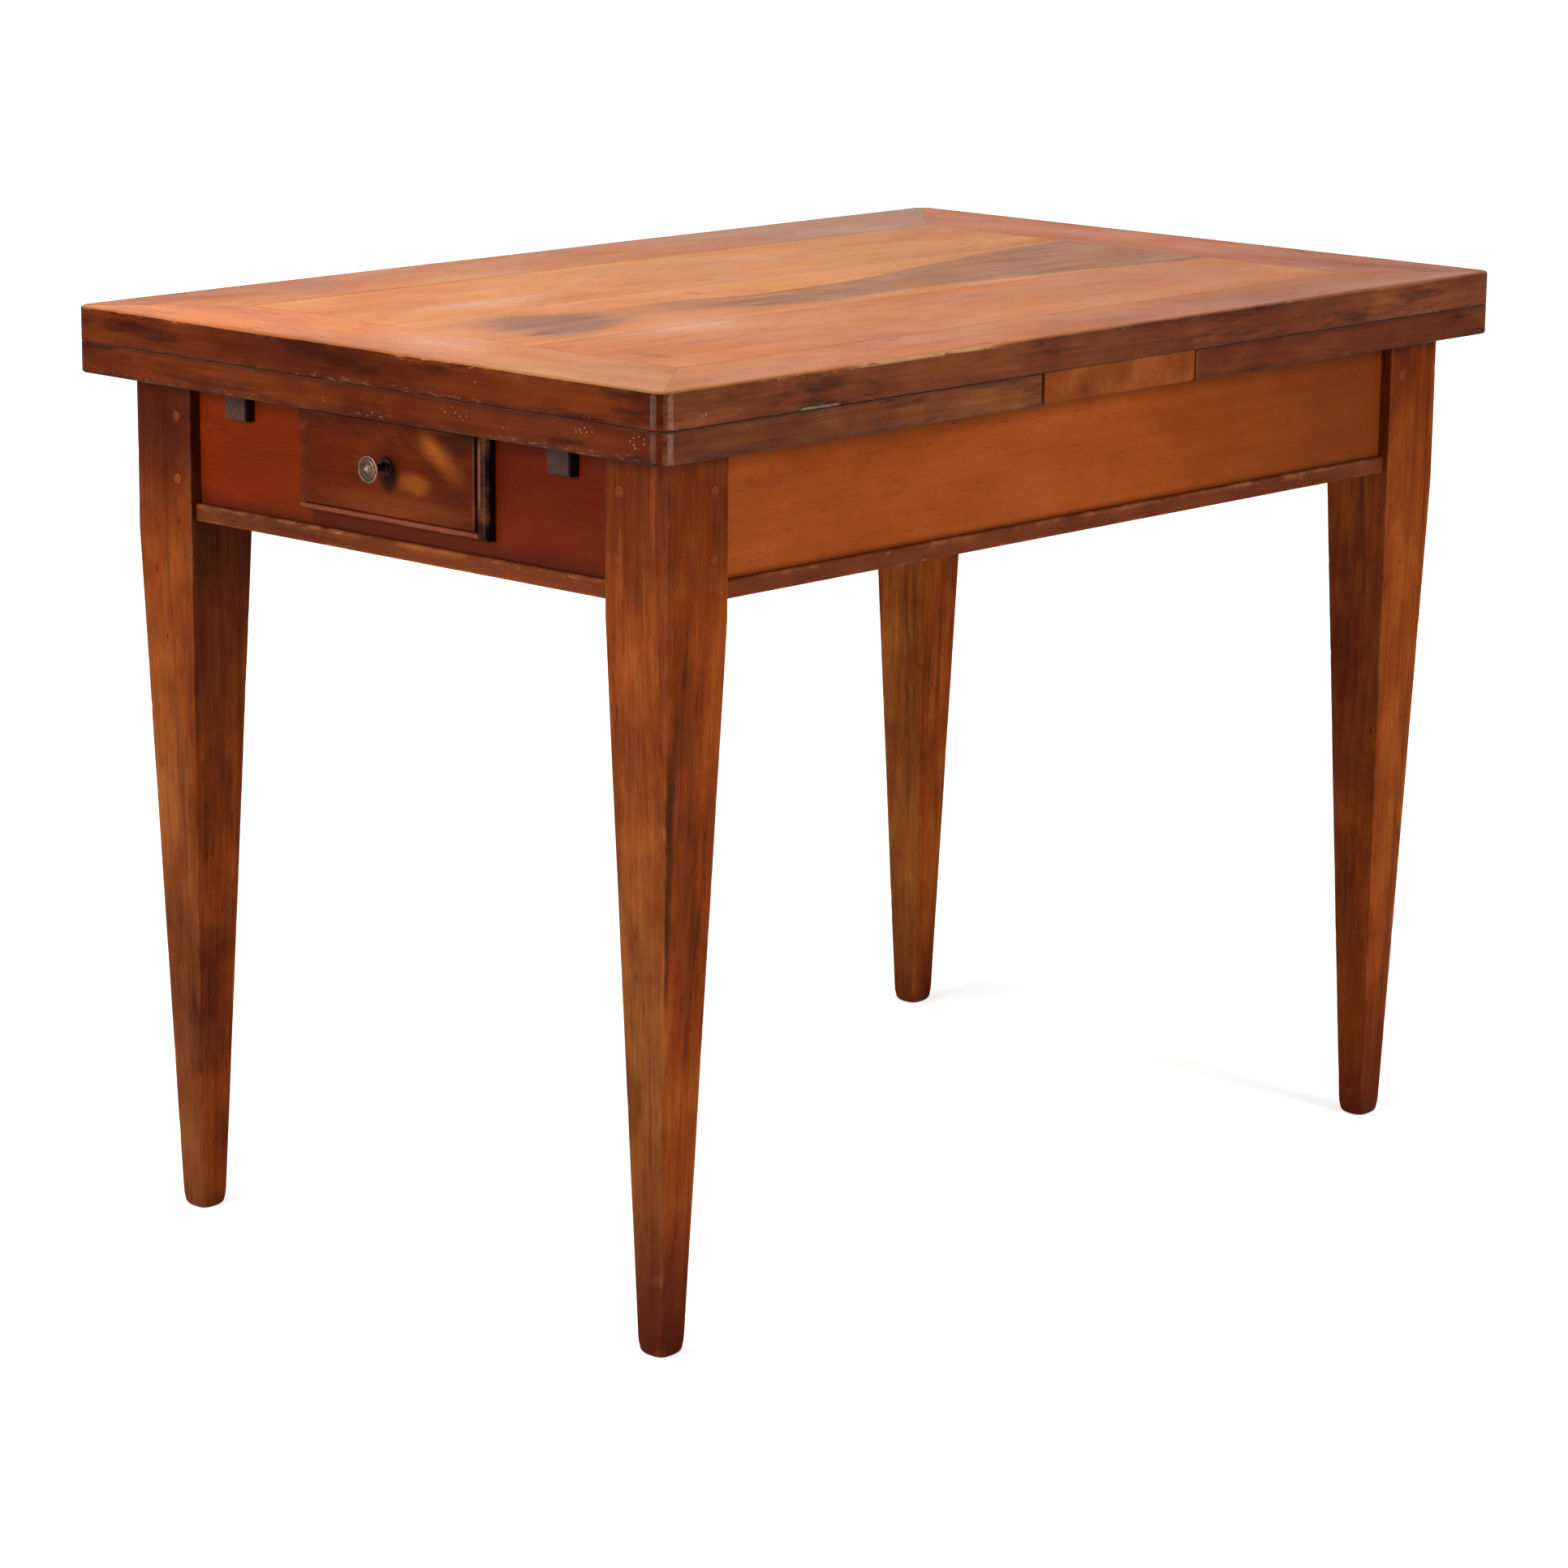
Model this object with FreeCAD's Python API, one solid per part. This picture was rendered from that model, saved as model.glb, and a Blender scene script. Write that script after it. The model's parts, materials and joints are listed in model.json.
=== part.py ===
import FreeCAD, Part
import math
import os

# A draw-leaf table: a loose framed top lies over two leaves that pull out at the ends on wooden bearers.
# X runs along the table and the drawer end is at -X. The front is at -Y, and Z is up from the floor.

Vector = FreeCAD.Vector

# Overall sizes
table_height = 760.0
table_length = 1034.0
table_width = 660.0

# Loose top: a mitred border round edge-jointed boards
top_thickness = 28.5
top_corner_radius = 13.0
top_arris_radius = 3.0
top_under_arris_radius = 1.0
top_border_left = 101.5
top_border_right = 108.5
top_border_front = 82.5
top_border_back = 102.5
top_board_shares = (0.33, 0.67)

# Draw leaves
leaf_thickness = 25.0
leaf_top_clearance = 0.5
leaf_rail_clearance = 0.3
leaf_border = 88.0
leaf_inner_rail_width = 60.0
leaf_inner_corner_radius = 3.0
leaf_arris_radius = 1.0
leaf_under_arris_radius = 2.0
leaf_end_gap = 2.0

# Joinery shared by the top and the leaves
panel_groove_depth = 9.0
panel_groove_height = 8.0
panel_movement_gap = 1.0
board_tongue_depth = 7.0
seam_width = 0.9
seam_depth = 0.6

# Fixed board between the leaves, which carries the loose top
centre_board_width = 189.0
centre_board_shift = 7.0
centre_board_side_arris = 1.5
centre_board_under_radius = 4.0

# Pins that keep the loose top in place
top_pin_radius = 8.0
top_pin_bearer_gap = 6.8
top_pin_sunk = 15.0
top_pin_hold = 5.5
top_pin_clearance = 0.5
top_lift_travel = 28.5

# Legs
end_overhang = 37.5
side_overhang = 30.5
leg_size = 65.0
leg_block_drop = 12.5
leg_foot_size = 25.0
leg_outer_taper_x = 16.5
leg_outer_taper_y = 19.5
leg_arris_radius = 1.8
foot_round = 5.0
foot_round_steps = 4

# Aprons and their tenons
apron_height = 115.2
apron_thickness = 22.0
apron_recess = 11.0
tenon_thickness = 10.0
tenon_tip_gap = 6.0
tenon_top_shoulder = 15.0
tenon_bottom_shoulder = 12.5
mortise_end_gap = 1.5

# Strips along the foot of the aprons
strip_height = 14.0
strip_thickness = 5.5
strip_round = 2.2

# Pegs through the tenons
peg_radius = 4.25
peg_setback_share = 0.484375
peg_first_drop = 31.0
peg_spacing = 51.0
peg_past_tenon = 11.0
peg_proud = 0.4
glue_line = 0.05

# Bearers that carry the leaves
bearer_width = 26.0
bearer_height = 28.0
bearer_recess = 2.0
left_bearer_past_stop = 8.7
right_bearer_past_stop = 36.7
bearer_tail_step = 0.3
bearer_tail_fall = 12.0
bearer_end_round = 3.0
bearer_side_clearance = 1.5
bearer_floor_clearance = 0.3
bearer_leg_gap = 39.3
bearer_pair_gap = 6.2

# Stop pegs near the tails of the bearers
stop_peg_radius = 4.0
stop_peg_drop = 10.0
stop_peg_sunk = 14.0
stop_peg_gap = 0.3
stop_peg_pass_clearance = 1.5

# Cross rails under the edges of the centre board
cross_rail_height = 100.0
cross_rail_thickness = 22.0
cross_rail_inset = 13.5
cross_rail_tenon = 10.0
cross_rail_tenon_thickness = 10.0
cross_rail_tenon_shoulder = 14.0

# Rails above and below the drawer opening
lower_rail_height = 35.0
upper_rail_height = 9.2
rail_tenon_length = 15.0
lower_tenon_thickness = 8.0
lower_tenon_shoulder = 6.5
upper_tenon_height = 4.6

# Drawer
drawer_lip_overlap_side = 6.75
drawer_lip_overlap_below = 8.0
drawer_lip_top_gap = 1.2
drawer_lip_thickness = 9.5
drawer_lip_round = 3.0
drawer_lip_gap = 0.3
drawer_field_inset_side = 11.5
drawer_field_inset_height = 7.0
drawer_field_proud = 1.5
drawer_groove_width = 2.6
drawer_groove_depth = 2.0
drawer_front_body = 18.0
drawer_side_clearance = 1.0
drawer_floor_clearance = 0.4
drawer_top_clearance = 0.8
drawer_back_clearance = 24.8
drawer_held = 80.0
drawer_side_thickness = 10.0
drawer_side_drop = 6.0
drawer_back_thickness = 10.0
drawer_back_drop = 5.0
drawer_back_dado = 4.0
drawer_bottom_thickness = 6.0
drawer_bottom_rise = 8.0
drawer_bottom_groove = 5.0
drawer_bottom_gap = 0.5

# Dovetails between the drawer's sides and its front
dovetail_count = 3
dovetail_length = 12.0
dovetail_root_share = 0.56
dovetail_tip_share = 0.80
dovetail_margin = 3.0

# Drawer runners, guides and kickers
runner_ledge = 14.0
runner_height = 12.5
guide_width = 18.0
guide_height = 20.0
guide_bearer_gap = 19.0
kicker_width = 25.0

# Turned metal knob with a threaded stud
knob_shift = 3.0
knob_height_share = 0.523
knob_disc_radius = 11.0
knob_disc_thickness = 2.6
knob_disc_round = 0.7
knob_rim_width = 1.3
knob_rim_depth = 0.5
knob_step_radius = 6.6
knob_step_height = 0.6
knob_boss_radius = 3.4
knob_boss_height = 1.8
knob_tip_radius = 1.3
knob_tip_height = 0.9
knob_collar_radius = 5.2
knob_collar_height = 1.4
knob_neck_radius = 3.0
knob_neck_length = 13.0
knob_flange_radius = 7.2
knob_flange_height = 1.6
knob_throat_length = 2.4
knob_stud_radius = 2.5
knob_stud_clearance = 0.3
knob_stud_past_nut = 3.0
washer_radius = 7.0
washer_thickness = 1.2
nut_size = 9.0
nut_thickness = 4.0

# Wood screws
screw_head_radius = 4.6
screw_head_height = 3.0
screw_shank_radius = 2.4
screw_slot_width = 1.0
screw_slot_depth = 1.1
screw_tip_length = 5.0
screw_point_share = 0.33
screw_sink = 0.4
leaf_screw_length = 44.0
leaf_screw_shares = (0.2, 0.8)
board_screw_length = 55.0
board_screw_spacing = 60.0

# One overrun serves every cut
overrun = 1.0

# Heights
top_underside = table_height - top_thickness
leaf_top = top_underside - leaf_top_clearance
leaf_underside = leaf_top - leaf_thickness
frame_top = leaf_underside - leaf_rail_clearance
apron_bottom = frame_top - apron_height
tenon_low = apron_bottom + tenon_bottom_shoulder
tenon_high = frame_top - tenon_top_shoulder
bearer_underside = leaf_underside - bearer_height
notch_floor = bearer_underside - bearer_floor_clearance
deep_notch_floor = bearer_underside - stop_peg_drop - stop_peg_pass_clearance
peg_heights = (frame_top - peg_first_drop, frame_top - peg_first_drop - peg_spacing)
opening_low = apron_bottom + lower_rail_height
opening_high = frame_top - upper_rail_height

# Joints in the legs
tenon_length = leg_size - apron_recess - apron_thickness / 2 - tenon_thickness / 2 - tenon_tip_gap
peg_setback = peg_setback_share * tenon_length
peg_depth = apron_recess + apron_thickness / 2 + tenon_thickness / 2 + peg_past_tenon

# Places in plan
half_length = table_length / 2
half_width = table_width / 2
leg_face_x = half_length - end_overhang
leg_face_y = half_width - side_overhang
leg_inner_x = leg_face_x - leg_size
leg_inner_y = leg_face_y - leg_size
apron_face_x = leg_face_x - apron_recess
apron_face_y = leg_face_y - apron_recess
apron_back_x = apron_face_x - apron_thickness
apron_back_y = apron_face_y - apron_thickness
apron_middle_x = apron_face_x - apron_thickness / 2
apron_middle_y = apron_face_y - apron_thickness / 2
board_left = centre_board_shift - centre_board_width / 2
board_right = centre_board_shift + centre_board_width / 2
left_leaf_inner = board_left - leaf_end_gap
right_leaf_inner = board_right + leaf_end_gap
left_bearer_offset = leg_inner_y - bearer_leg_gap - bearer_width / 2
right_bearer_offset = left_bearer_offset - bearer_width - bearer_pair_gap
top_pin_offset = left_bearer_offset + bearer_width / 2 + top_pin_bearer_gap + top_pin_radius
half_opening = right_bearer_offset - bearer_width / 2 - guide_bearer_gap - guide_width
left_rail_x = board_left + cross_rail_inset
right_rail_x = board_right - cross_rail_inset - cross_rail_thickness
left_leaf_travel = half_length + left_leaf_inner
right_leaf_travel = half_length - right_leaf_inner


def box(x0, x1, y0, y1, z0, z1):
    return Part.makeBox(x1 - x0, y1 - y0, z1 - z0, Vector(x0, y0, z0))


def rod(x, y, z, direction, radius, length):
    return Part.makeCylinder(radius, length, Vector(x, y, z), direction)


def prism(points, travel):
    return Part.Face(Part.makePolygon(points + points[:1])).extrude(travel)


def joined(shapes):
    whole = shapes[0]
    for shape in shapes[1:]:
        whole = whole.fuse(shape)
    return whole.removeSplitter()


def cut_by(shape, cutters):
    for cutter in cutters:
        shape = shape.cut(cutter)
    return shape


def mirrored(shape, axis):
    return shape.mirror(Vector(0, 0, 0), axis)


def edges_where(shape, test):
    return [edge for edge in shape.Edges if test(edge.BoundBox)]


def close(a, b):
    return abs(a - b) < glue_line


def rounded(shape, radius, test):
    return shape.makeFillet(radius, edges_where(shape, test))


def save(name, solids):
    shape = solids[0] if len(solids) == 1 else Part.makeCompound(solids)
    for solid in shape.Solids:
        if not solid.isValid():
            print("not valid:", name)
    shape.exportStep(os.path.join("parts", name + ".step"))
    print("%-28s solids %2d  volume %.1f" % (name, len(shape.Solids), shape.Volume))


# Screws

def screw(x, y, z, up, length, ease=0):
    way = Vector(0, 0, up)
    head_radius = screw_head_radius + ease
    shank_radius = screw_shank_radius + ease
    shank_length = length - screw_head_height - screw_tip_length
    head = Part.makeCone(head_radius, shank_radius, screw_head_height, Vector(x, y, z), way)
    shank = rod(x, y, z + up * screw_head_height, way, shank_radius, shank_length)
    tip_start = Vector(x, y, z + up * (length - screw_tip_length))
    point_radius = shank_radius * screw_point_share
    tip = Part.makeCone(shank_radius, point_radius, screw_tip_length + ease, tip_start, way)
    return joined([head, shank, tip])


def slotted_screw(x, y, z, up, length):
    slot_reach = screw_head_radius + overrun
    slot_half = screw_slot_width / 2
    low = z if up > 0 else z - screw_slot_depth
    slot = box(x - slot_half, x + slot_half, y - slot_reach, y + slot_reach, low, low + screw_slot_depth)
    return screw(x, y, z, up, length).cut(slot)


def screw_hole(x, y, z, up, length):
    mouth = rod(x, y, z, Vector(0, 0, -up), screw_head_radius + glue_line, screw_sink + overrun)
    return joined([screw(x, y, z, up, length, glue_line), mouth])


# Legs and the pegs that pin the tenons in them

def rounded_square(x0, y0, size, radius, z):
    x1 = x0 + size
    y1 = y0 + size
    lean = radius * (1 - math.sqrt(0.5))
    corners = [
        (Vector(x0, y0 + radius, z), Vector(x0 + lean, y0 + lean, z), Vector(x0 + radius, y0, z)),
        (Vector(x1 - radius, y0, z), Vector(x1 - lean, y0 + lean, z), Vector(x1, y0 + radius, z)),
        (Vector(x1, y1 - radius, z), Vector(x1 - lean, y1 - lean, z), Vector(x1 - radius, y1, z)),
        (Vector(x0 + radius, y1, z), Vector(x0 + lean, y1 - lean, z), Vector(x0, y1 - radius, z)),
    ]
    edges = []
    for index, (start, middle, end) in enumerate(corners):
        edges.append(Part.Arc(start, middle, end).toShape())
        edges.append(Part.LineSegment(end, corners[(index + 1) % len(corners)][0]).toShape())
    return Part.Wire(edges)


def leg_blank():
    block_foot = apron_bottom - leg_block_drop
    foot_x = -leg_face_x + leg_outer_taper_x
    foot_y = -leg_face_y + leg_outer_taper_y
    sections = [
        rounded_square(-leg_face_x, -leg_face_y, leg_size, leg_arris_radius, frame_top),
        rounded_square(-leg_face_x, -leg_face_y, leg_size, leg_arris_radius, block_foot),
    ]
    for step in range(foot_round_steps + 1):
        angle = math.pi / 2 * step / foot_round_steps
        inset = foot_round * (1 - math.cos(angle))
        height = foot_round * (1 - math.sin(angle))
        size = leg_foot_size - 2 * inset
        sections.append(rounded_square(foot_x + inset, foot_y + inset, size, leg_arris_radius, height))
    return Part.makeLoft(sections, True, True)


def corner_pegs(radius, mouth):
    pegs = []
    length = peg_depth + mouth
    for height in peg_heights:
        end_y = -leg_inner_y - peg_setback
        side_x = -leg_inner_x - peg_setback
        pegs.append(rod(-leg_face_x - mouth, end_y, height, Vector(1, 0, 0), radius, length))
        pegs.append(rod(side_x, -leg_face_y - mouth, height, Vector(0, 1, 0), radius, length))
    return pegs


def corner_mortises():
    half = tenon_thickness / 2
    depth = tenon_length + mortise_end_gap
    end_mortise = box(-apron_middle_x - half, -apron_middle_x + half,
                      -leg_inner_y - depth, -leg_inner_y + overrun, tenon_low, tenon_high)
    side_mortise = box(-leg_inner_x - depth, -leg_inner_x + overrun,
                       -apron_middle_y - half, -apron_middle_y + half, tenon_low, tenon_high)
    return [end_mortise, side_mortise]


def four_corners(shape):
    back = mirrored(shape, Vector(0, 1, 0))
    return {
        "left_front": shape,
        "left_back": back,
        "right_front": mirrored(shape, Vector(1, 0, 0)),
        "right_back": mirrored(back, Vector(1, 0, 0)),
    }


def make_legs():
    leg = cut_by(leg_blank(), corner_mortises() + peg_holes())
    for corner, shape in four_corners(leg).items():
        save("leg_" + corner, [shape])


def peg_holes():
    return corner_pegs(peg_radius + glue_line, overrun)


def all_peg_holes():
    return [shape for hole in peg_holes() for shape in four_corners(hole).values()]


def make_joint_pegs():
    pegs = corner_pegs(peg_radius, peg_proud)
    save("joint_pegs", [shape for peg in pegs for shape in four_corners(peg).values()])


# Aprons

def bearer_notches(x0, x1, offset, floor):
    half = bearer_width / 2 + bearer_side_clearance
    return [box(x0 - overrun, x1 + overrun, y - half, y + half, floor, frame_top + overrun)
            for y in (-offset, offset)]


def end_tenon(x_middle, y_start, y_end):
    half = tenon_thickness / 2
    return box(x_middle - half, x_middle + half,
               min(y_start, y_end), max(y_start, y_end), tenon_low, tenon_high)


def lower_rail_tenon(y0, y1, length):
    half = lower_tenon_thickness / 2
    low = apron_bottom + lower_tenon_shoulder
    high = opening_low - lower_tenon_shoulder
    return box(-apron_middle_x - half, -apron_middle_x + half, y0 - length, y1 + length, low, high)


def upper_rail_tenon(y0, y1, length):
    middle = (opening_high + frame_top) / 2
    half = upper_tenon_height / 2
    return box(-apron_face_x + half, -apron_back_x - half,
               y0 - length, y1 + length, middle - half, middle + half)


def make_drawer_rails():
    lower = box(-apron_face_x, -apron_back_x, -half_opening, half_opening, apron_bottom, opening_low)
    upper = box(-apron_face_x, -apron_back_x, -half_opening, half_opening, opening_high, frame_top)
    reach = rail_tenon_length
    save("drawer_lower_rail", [joined([lower, lower_rail_tenon(-half_opening, half_opening, reach)])])
    save("drawer_upper_rail", [joined([upper, upper_rail_tenon(-half_opening, half_opening, reach)])])


def make_left_end_boards():
    reach = rail_tenon_length + mortise_end_gap
    mortises = [
        lower_rail_tenon(-half_opening, half_opening, reach),
        upper_rail_tenon(-half_opening, half_opening, reach),
    ]
    board = box(-apron_face_x, -apron_back_x, -leg_inner_y, -half_opening, apron_bottom, frame_top)
    tenon = end_tenon(-apron_middle_x, -leg_inner_y - tenon_length, -leg_inner_y)
    notches = bearer_notches(-apron_face_x, -apron_back_x, left_bearer_offset, notch_floor)
    board = cut_by(joined([board, tenon]), mortises + notches + peg_holes())
    save("left_end_board_front", [board])
    save("left_end_board_back", [mirrored(board, Vector(0, 1, 0))])


def make_right_end_apron():
    board = box(apron_back_x, apron_face_x, -leg_inner_y, leg_inner_y, apron_bottom, frame_top)
    reach = leg_inner_y + tenon_length
    tenon = end_tenon(apron_middle_x, -reach, reach)
    notches = bearer_notches(apron_back_x, apron_face_x, right_bearer_offset, notch_floor)
    save("right_end_apron", [cut_by(joined([board, tenon]), notches + all_peg_holes())])


def make_side_aprons():
    board = box(-leg_inner_x, leg_inner_x, -apron_face_y, -apron_back_y, apron_bottom, frame_top)
    reach = leg_inner_x + tenon_length
    half = tenon_thickness / 2
    tenon = box(-reach, reach, -apron_middle_y - half, -apron_middle_y + half, tenon_low, tenon_high)
    cutters = all_peg_holes() + board_screw_holes()
    cutters += [cross_rail_tenons(left_rail_x), cross_rail_tenons(right_rail_x)]
    apron = joined([board, tenon])
    save("front_side_apron", [cut_by(apron, cutters)])
    save("back_side_apron", [cut_by(mirrored(apron, Vector(0, 1, 0)), cutters)])


def make_strips():
    high = apron_bottom + strip_height
    end = box(-apron_face_x - strip_thickness, -apron_face_x, -leg_inner_y, leg_inner_y, apron_bottom, high)
    side = box(-leg_inner_x, leg_inner_x, -apron_face_y - strip_thickness, -apron_face_y, apron_bottom, high)
    end = rounded(end, strip_round, lambda b: close(b.XMax, -apron_face_x - strip_thickness)
                  and close(b.ZMin, high))
    side = rounded(side, strip_round, lambda b: close(b.YMax, -apron_face_y - strip_thickness)
                   and close(b.ZMin, high))
    save("left_strip", [end])
    save("right_strip", [mirrored(end, Vector(1, 0, 0))])
    save("front_strip", [side])
    save("back_strip", [mirrored(side, Vector(0, 1, 0))])


# Cross rails and the fixed centre board

def cross_rail_tenons(x0):
    half = cross_rail_tenon_thickness / 2
    middle = x0 + cross_rail_thickness / 2
    reach = apron_back_y + cross_rail_tenon
    low = frame_top - cross_rail_height + cross_rail_tenon_shoulder
    return box(middle - half, middle + half, -reach, reach, low, frame_top - cross_rail_tenon_shoulder)


def make_cross_rail(name, x0, near_offset, far_offset):
    x1 = x0 + cross_rail_thickness
    rail = box(x0, x1, -apron_back_y, apron_back_y, frame_top - cross_rail_height, frame_top)
    notches = bearer_notches(x0, x1, near_offset, notch_floor)
    notches += bearer_notches(x0, x1, far_offset, deep_notch_floor)
    save(name, [cut_by(joined([rail, cross_rail_tenons(x0)]), notches)])


def board_screw_places():
    half = board_screw_spacing / 2
    return [(x, y) for x in (centre_board_shift - half, centre_board_shift + half)
            for y in (-apron_middle_y, apron_middle_y)]


def board_screw_holes():
    height = top_underside - screw_sink
    return [screw_hole(x, y, height, -1, board_screw_length) for x, y in board_screw_places()]


def top_pin_holes():
    depth = top_underside - frame_top + 2 * overrun
    radius = top_pin_radius + top_pin_clearance
    return [rod(centre_board_shift, y, frame_top - overrun, Vector(0, 0, 1), radius, depth)
            for y in (-top_pin_offset, top_pin_offset)]


def make_centre_board():
    board = box(board_left, board_right, -half_width, half_width, frame_top, top_underside)
    board = rounded(board, centre_board_side_arris, lambda b: close(b.XLength, 0) and close(b.YLength, 0))
    board = rounded(board, centre_board_under_radius,
                    lambda b: close(b.ZMax, frame_top) and b.YLength > half_width)
    save("centre_board", [cut_by(board, board_screw_holes() + top_pin_holes())])
    height = top_underside - screw_sink
    screws = [slotted_screw(x, y, height, -1, board_screw_length) for x, y in board_screw_places()]
    save("centre_board_screws", screws)


# Drawer guides

def make_runners():
    x0 = -apron_back_x
    travel = Vector(left_rail_x - x0, 0, 0)
    inner = half_opening - runner_ledge
    outer = half_opening + guide_width
    section = [
        Vector(x0, inner, opening_low - runner_height),
        Vector(x0, outer, opening_low - runner_height),
        Vector(x0, outer, opening_low + guide_height),
        Vector(x0, half_opening, opening_low + guide_height),
        Vector(x0, half_opening, opening_low),
        Vector(x0, inner, opening_low),
    ]
    runner = prism(section, travel)
    kicker = box(x0, left_rail_x, inner, inner + kicker_width, opening_high, frame_top)
    for name, shape in (("drawer_runner", runner), ("drawer_kicker", kicker)):
        save(name + "_back", [shape])
        save(name + "_front", [mirrored(shape, Vector(0, 1, 0))])


# Framed panels, for the loose top and the leaves

def seam_cutter(a, b, z):
    run = Vector(b[0] - a[0], b[1] - a[1], 0)
    side = Vector(-run.y, run.x, 0).normalize()
    start = Vector(a[0], a[1], z)
    spread = seam_width / 2 * (1 + overrun / seam_depth)
    return prism([
        start + side * spread + Vector(0, 0, overrun),
        start - side * spread + Vector(0, 0, overrun),
        start - Vector(0, 0, seam_depth),
    ], run)


def flat_prism(outline, z0, z1):
    return prism([Vector(x, y, z0) for x, y in outline], Vector(0, 0, z1 - z0))


def framed_panel(name, span_x, span_y, span_z, borders, arrises, square_end, split_shares):
    x0, x1 = span_x
    y0, y1 = span_y
    z0, z1 = span_z
    left, right, front, back = borders
    panel_x0 = x0 + left
    panel_x1 = x1 - right
    panel_y0 = y0 + front
    panel_y1 = y1 - back

    blank = box(x0, x1, y0, y1, z0, z1)
    for x, end in ((x0, "left"), (x1, "right")):
        radius = leaf_inner_corner_radius if end == square_end else top_corner_radius
        blank = rounded(blank, radius, lambda b: close(b.ZLength, z1 - z0)
                        and close(b.XMin, x) and close(b.XMax, x))
    blank = rounded(blank, arrises[0], lambda b: close(b.ZMin, z1))
    blank = rounded(blank, arrises[1], lambda b: close(b.ZMax, z0))

    left_x = x0 if square_end == "left" else panel_x0
    right_x = x1 if square_end == "right" else panel_x1
    left_y = (panel_y0, panel_y1) if square_end == "left" else (y0, y1)
    right_y = (panel_y0, panel_y1) if square_end == "right" else (y0, y1)
    outlines = {
        "front_border": [(x0, y0), (x1, y0), (right_x, panel_y0), (left_x, panel_y0)],
        "back_border": [(left_x, panel_y1), (right_x, panel_y1), (x1, y1), (x0, y1)],
        "left_border": [(x0, left_y[0]), (panel_x0, panel_y0), (panel_x0, panel_y1), (x0, left_y[1])],
        "right_border": [(x1, right_y[0]), (x1, right_y[1]), (panel_x1, panel_y1), (panel_x1, panel_y0)],
    }

    groove_z0 = (z0 + z1 - panel_groove_height) / 2
    groove_z1 = groove_z0 + panel_groove_height
    deep = panel_groove_depth
    groove = box(panel_x0 - deep, panel_x1 + deep, panel_y0 - deep, panel_y1 + deep, groove_z0, groove_z1)
    short = panel_groove_depth - panel_movement_gap
    tongue = box(panel_x0 - short, panel_x1 + short, panel_y0 - short, panel_y1 + short, groove_z0, groove_z1)

    splits = [panel_y0 + share * (panel_y1 - panel_y0) for share in split_shares]
    seams = [seam_cutter((panel_x0, y), (panel_x1, y), z1) for y in [panel_y0] + splits + [panel_y1]]
    for x_out, x_in, reach in ((x0, panel_x0, left_y), (x1, panel_x1, right_y)):
        seams.append(seam_cutter((x_in, panel_y0), (x_in, panel_y1), z1))
        seams.append(seam_cutter((x_in, panel_y0), (x_out, reach[0]), z1))
        seams.append(seam_cutter((x_in, panel_y1), (x_out, reach[1]), z1))

    pieces = {}
    for part, outline in outlines.items():
        piece = blank.common(flat_prism(outline, z0 - overrun, z1 + overrun))
        pieces[name + "_" + part] = cut_by(piece, [groove] + seams)

    panel = joined([box(panel_x0, panel_x1, panel_y0, panel_y1, z0, z1), tongue])
    lows = [panel_y0 - deep] + splits
    highs = splits + [panel_y1 + deep]
    for index, (low, high) in enumerate(zip(lows, highs)):
        board = panel.common(box(x0, x1, low, high, z0 - overrun, z1 + overrun))
        if index > 0:
            slot = box(x0, x1, low, low + board_tongue_depth + panel_movement_gap, groove_z0, groove_z1)
            board = board.cut(slot)
        if index < len(lows) - 1:
            lip = box(panel_x0 - short, panel_x1 + short,
                      high, high + board_tongue_depth, groove_z0, groove_z1)
            board = joined([board, lip])
        suffix = "_board_%d" % (index + 1) if len(lows) > 1 else "_panel"
        pieces[name + suffix] = cut_by(board, seams)
    return pieces


# Loose top

def top_pins():
    start = frame_top - top_lift_travel - top_pin_hold
    length = top_underside + top_pin_sunk - start
    return [rod(centre_board_shift, y, start, Vector(0, 0, 1), top_pin_radius, length)
            for y in (-top_pin_offset, top_pin_offset)]


def top_pin_sockets():
    return [rod(centre_board_shift, y, top_underside - overrun, Vector(0, 0, 1),
                top_pin_radius + glue_line, top_pin_sunk + overrun + glue_line)
            for y in (-top_pin_offset, top_pin_offset)]


def make_top():
    borders = (top_border_left, top_border_right, top_border_front, top_border_back)
    arrises = (top_arris_radius, top_under_arris_radius)
    pieces = framed_panel("top", (-half_length, half_length), (-half_width, half_width),
                          (top_underside, table_height), borders, arrises, None, top_board_shares)
    for name, shape in pieces.items():
        save(name, [cut_by(shape, top_pin_sockets())])
    save("top_locating_pins", top_pins())


# Leaves

def bearer(outer_x, inner_x, tail_x, y):
    low_tail = frame_top - bearer_tail_step
    half = bearer_width / 2
    section = [
        Vector(outer_x, y - half, bearer_underside),
        Vector(tail_x, y - half, bearer_underside),
        Vector(tail_x, y - half, low_tail - bearer_tail_fall),
        Vector(inner_x, y - half, low_tail),
        Vector(inner_x, y - half, leaf_underside),
        Vector(outer_x, y - half, leaf_underside),
    ]
    shape = prism(section, Vector(0, bearer_width, 0))
    return rounded(shape, bearer_end_round, lambda b: close(b.XMin, outer_x) and close(b.XMax, outer_x)
                   and b.ZMin < leaf_underside - glue_line)


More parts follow.
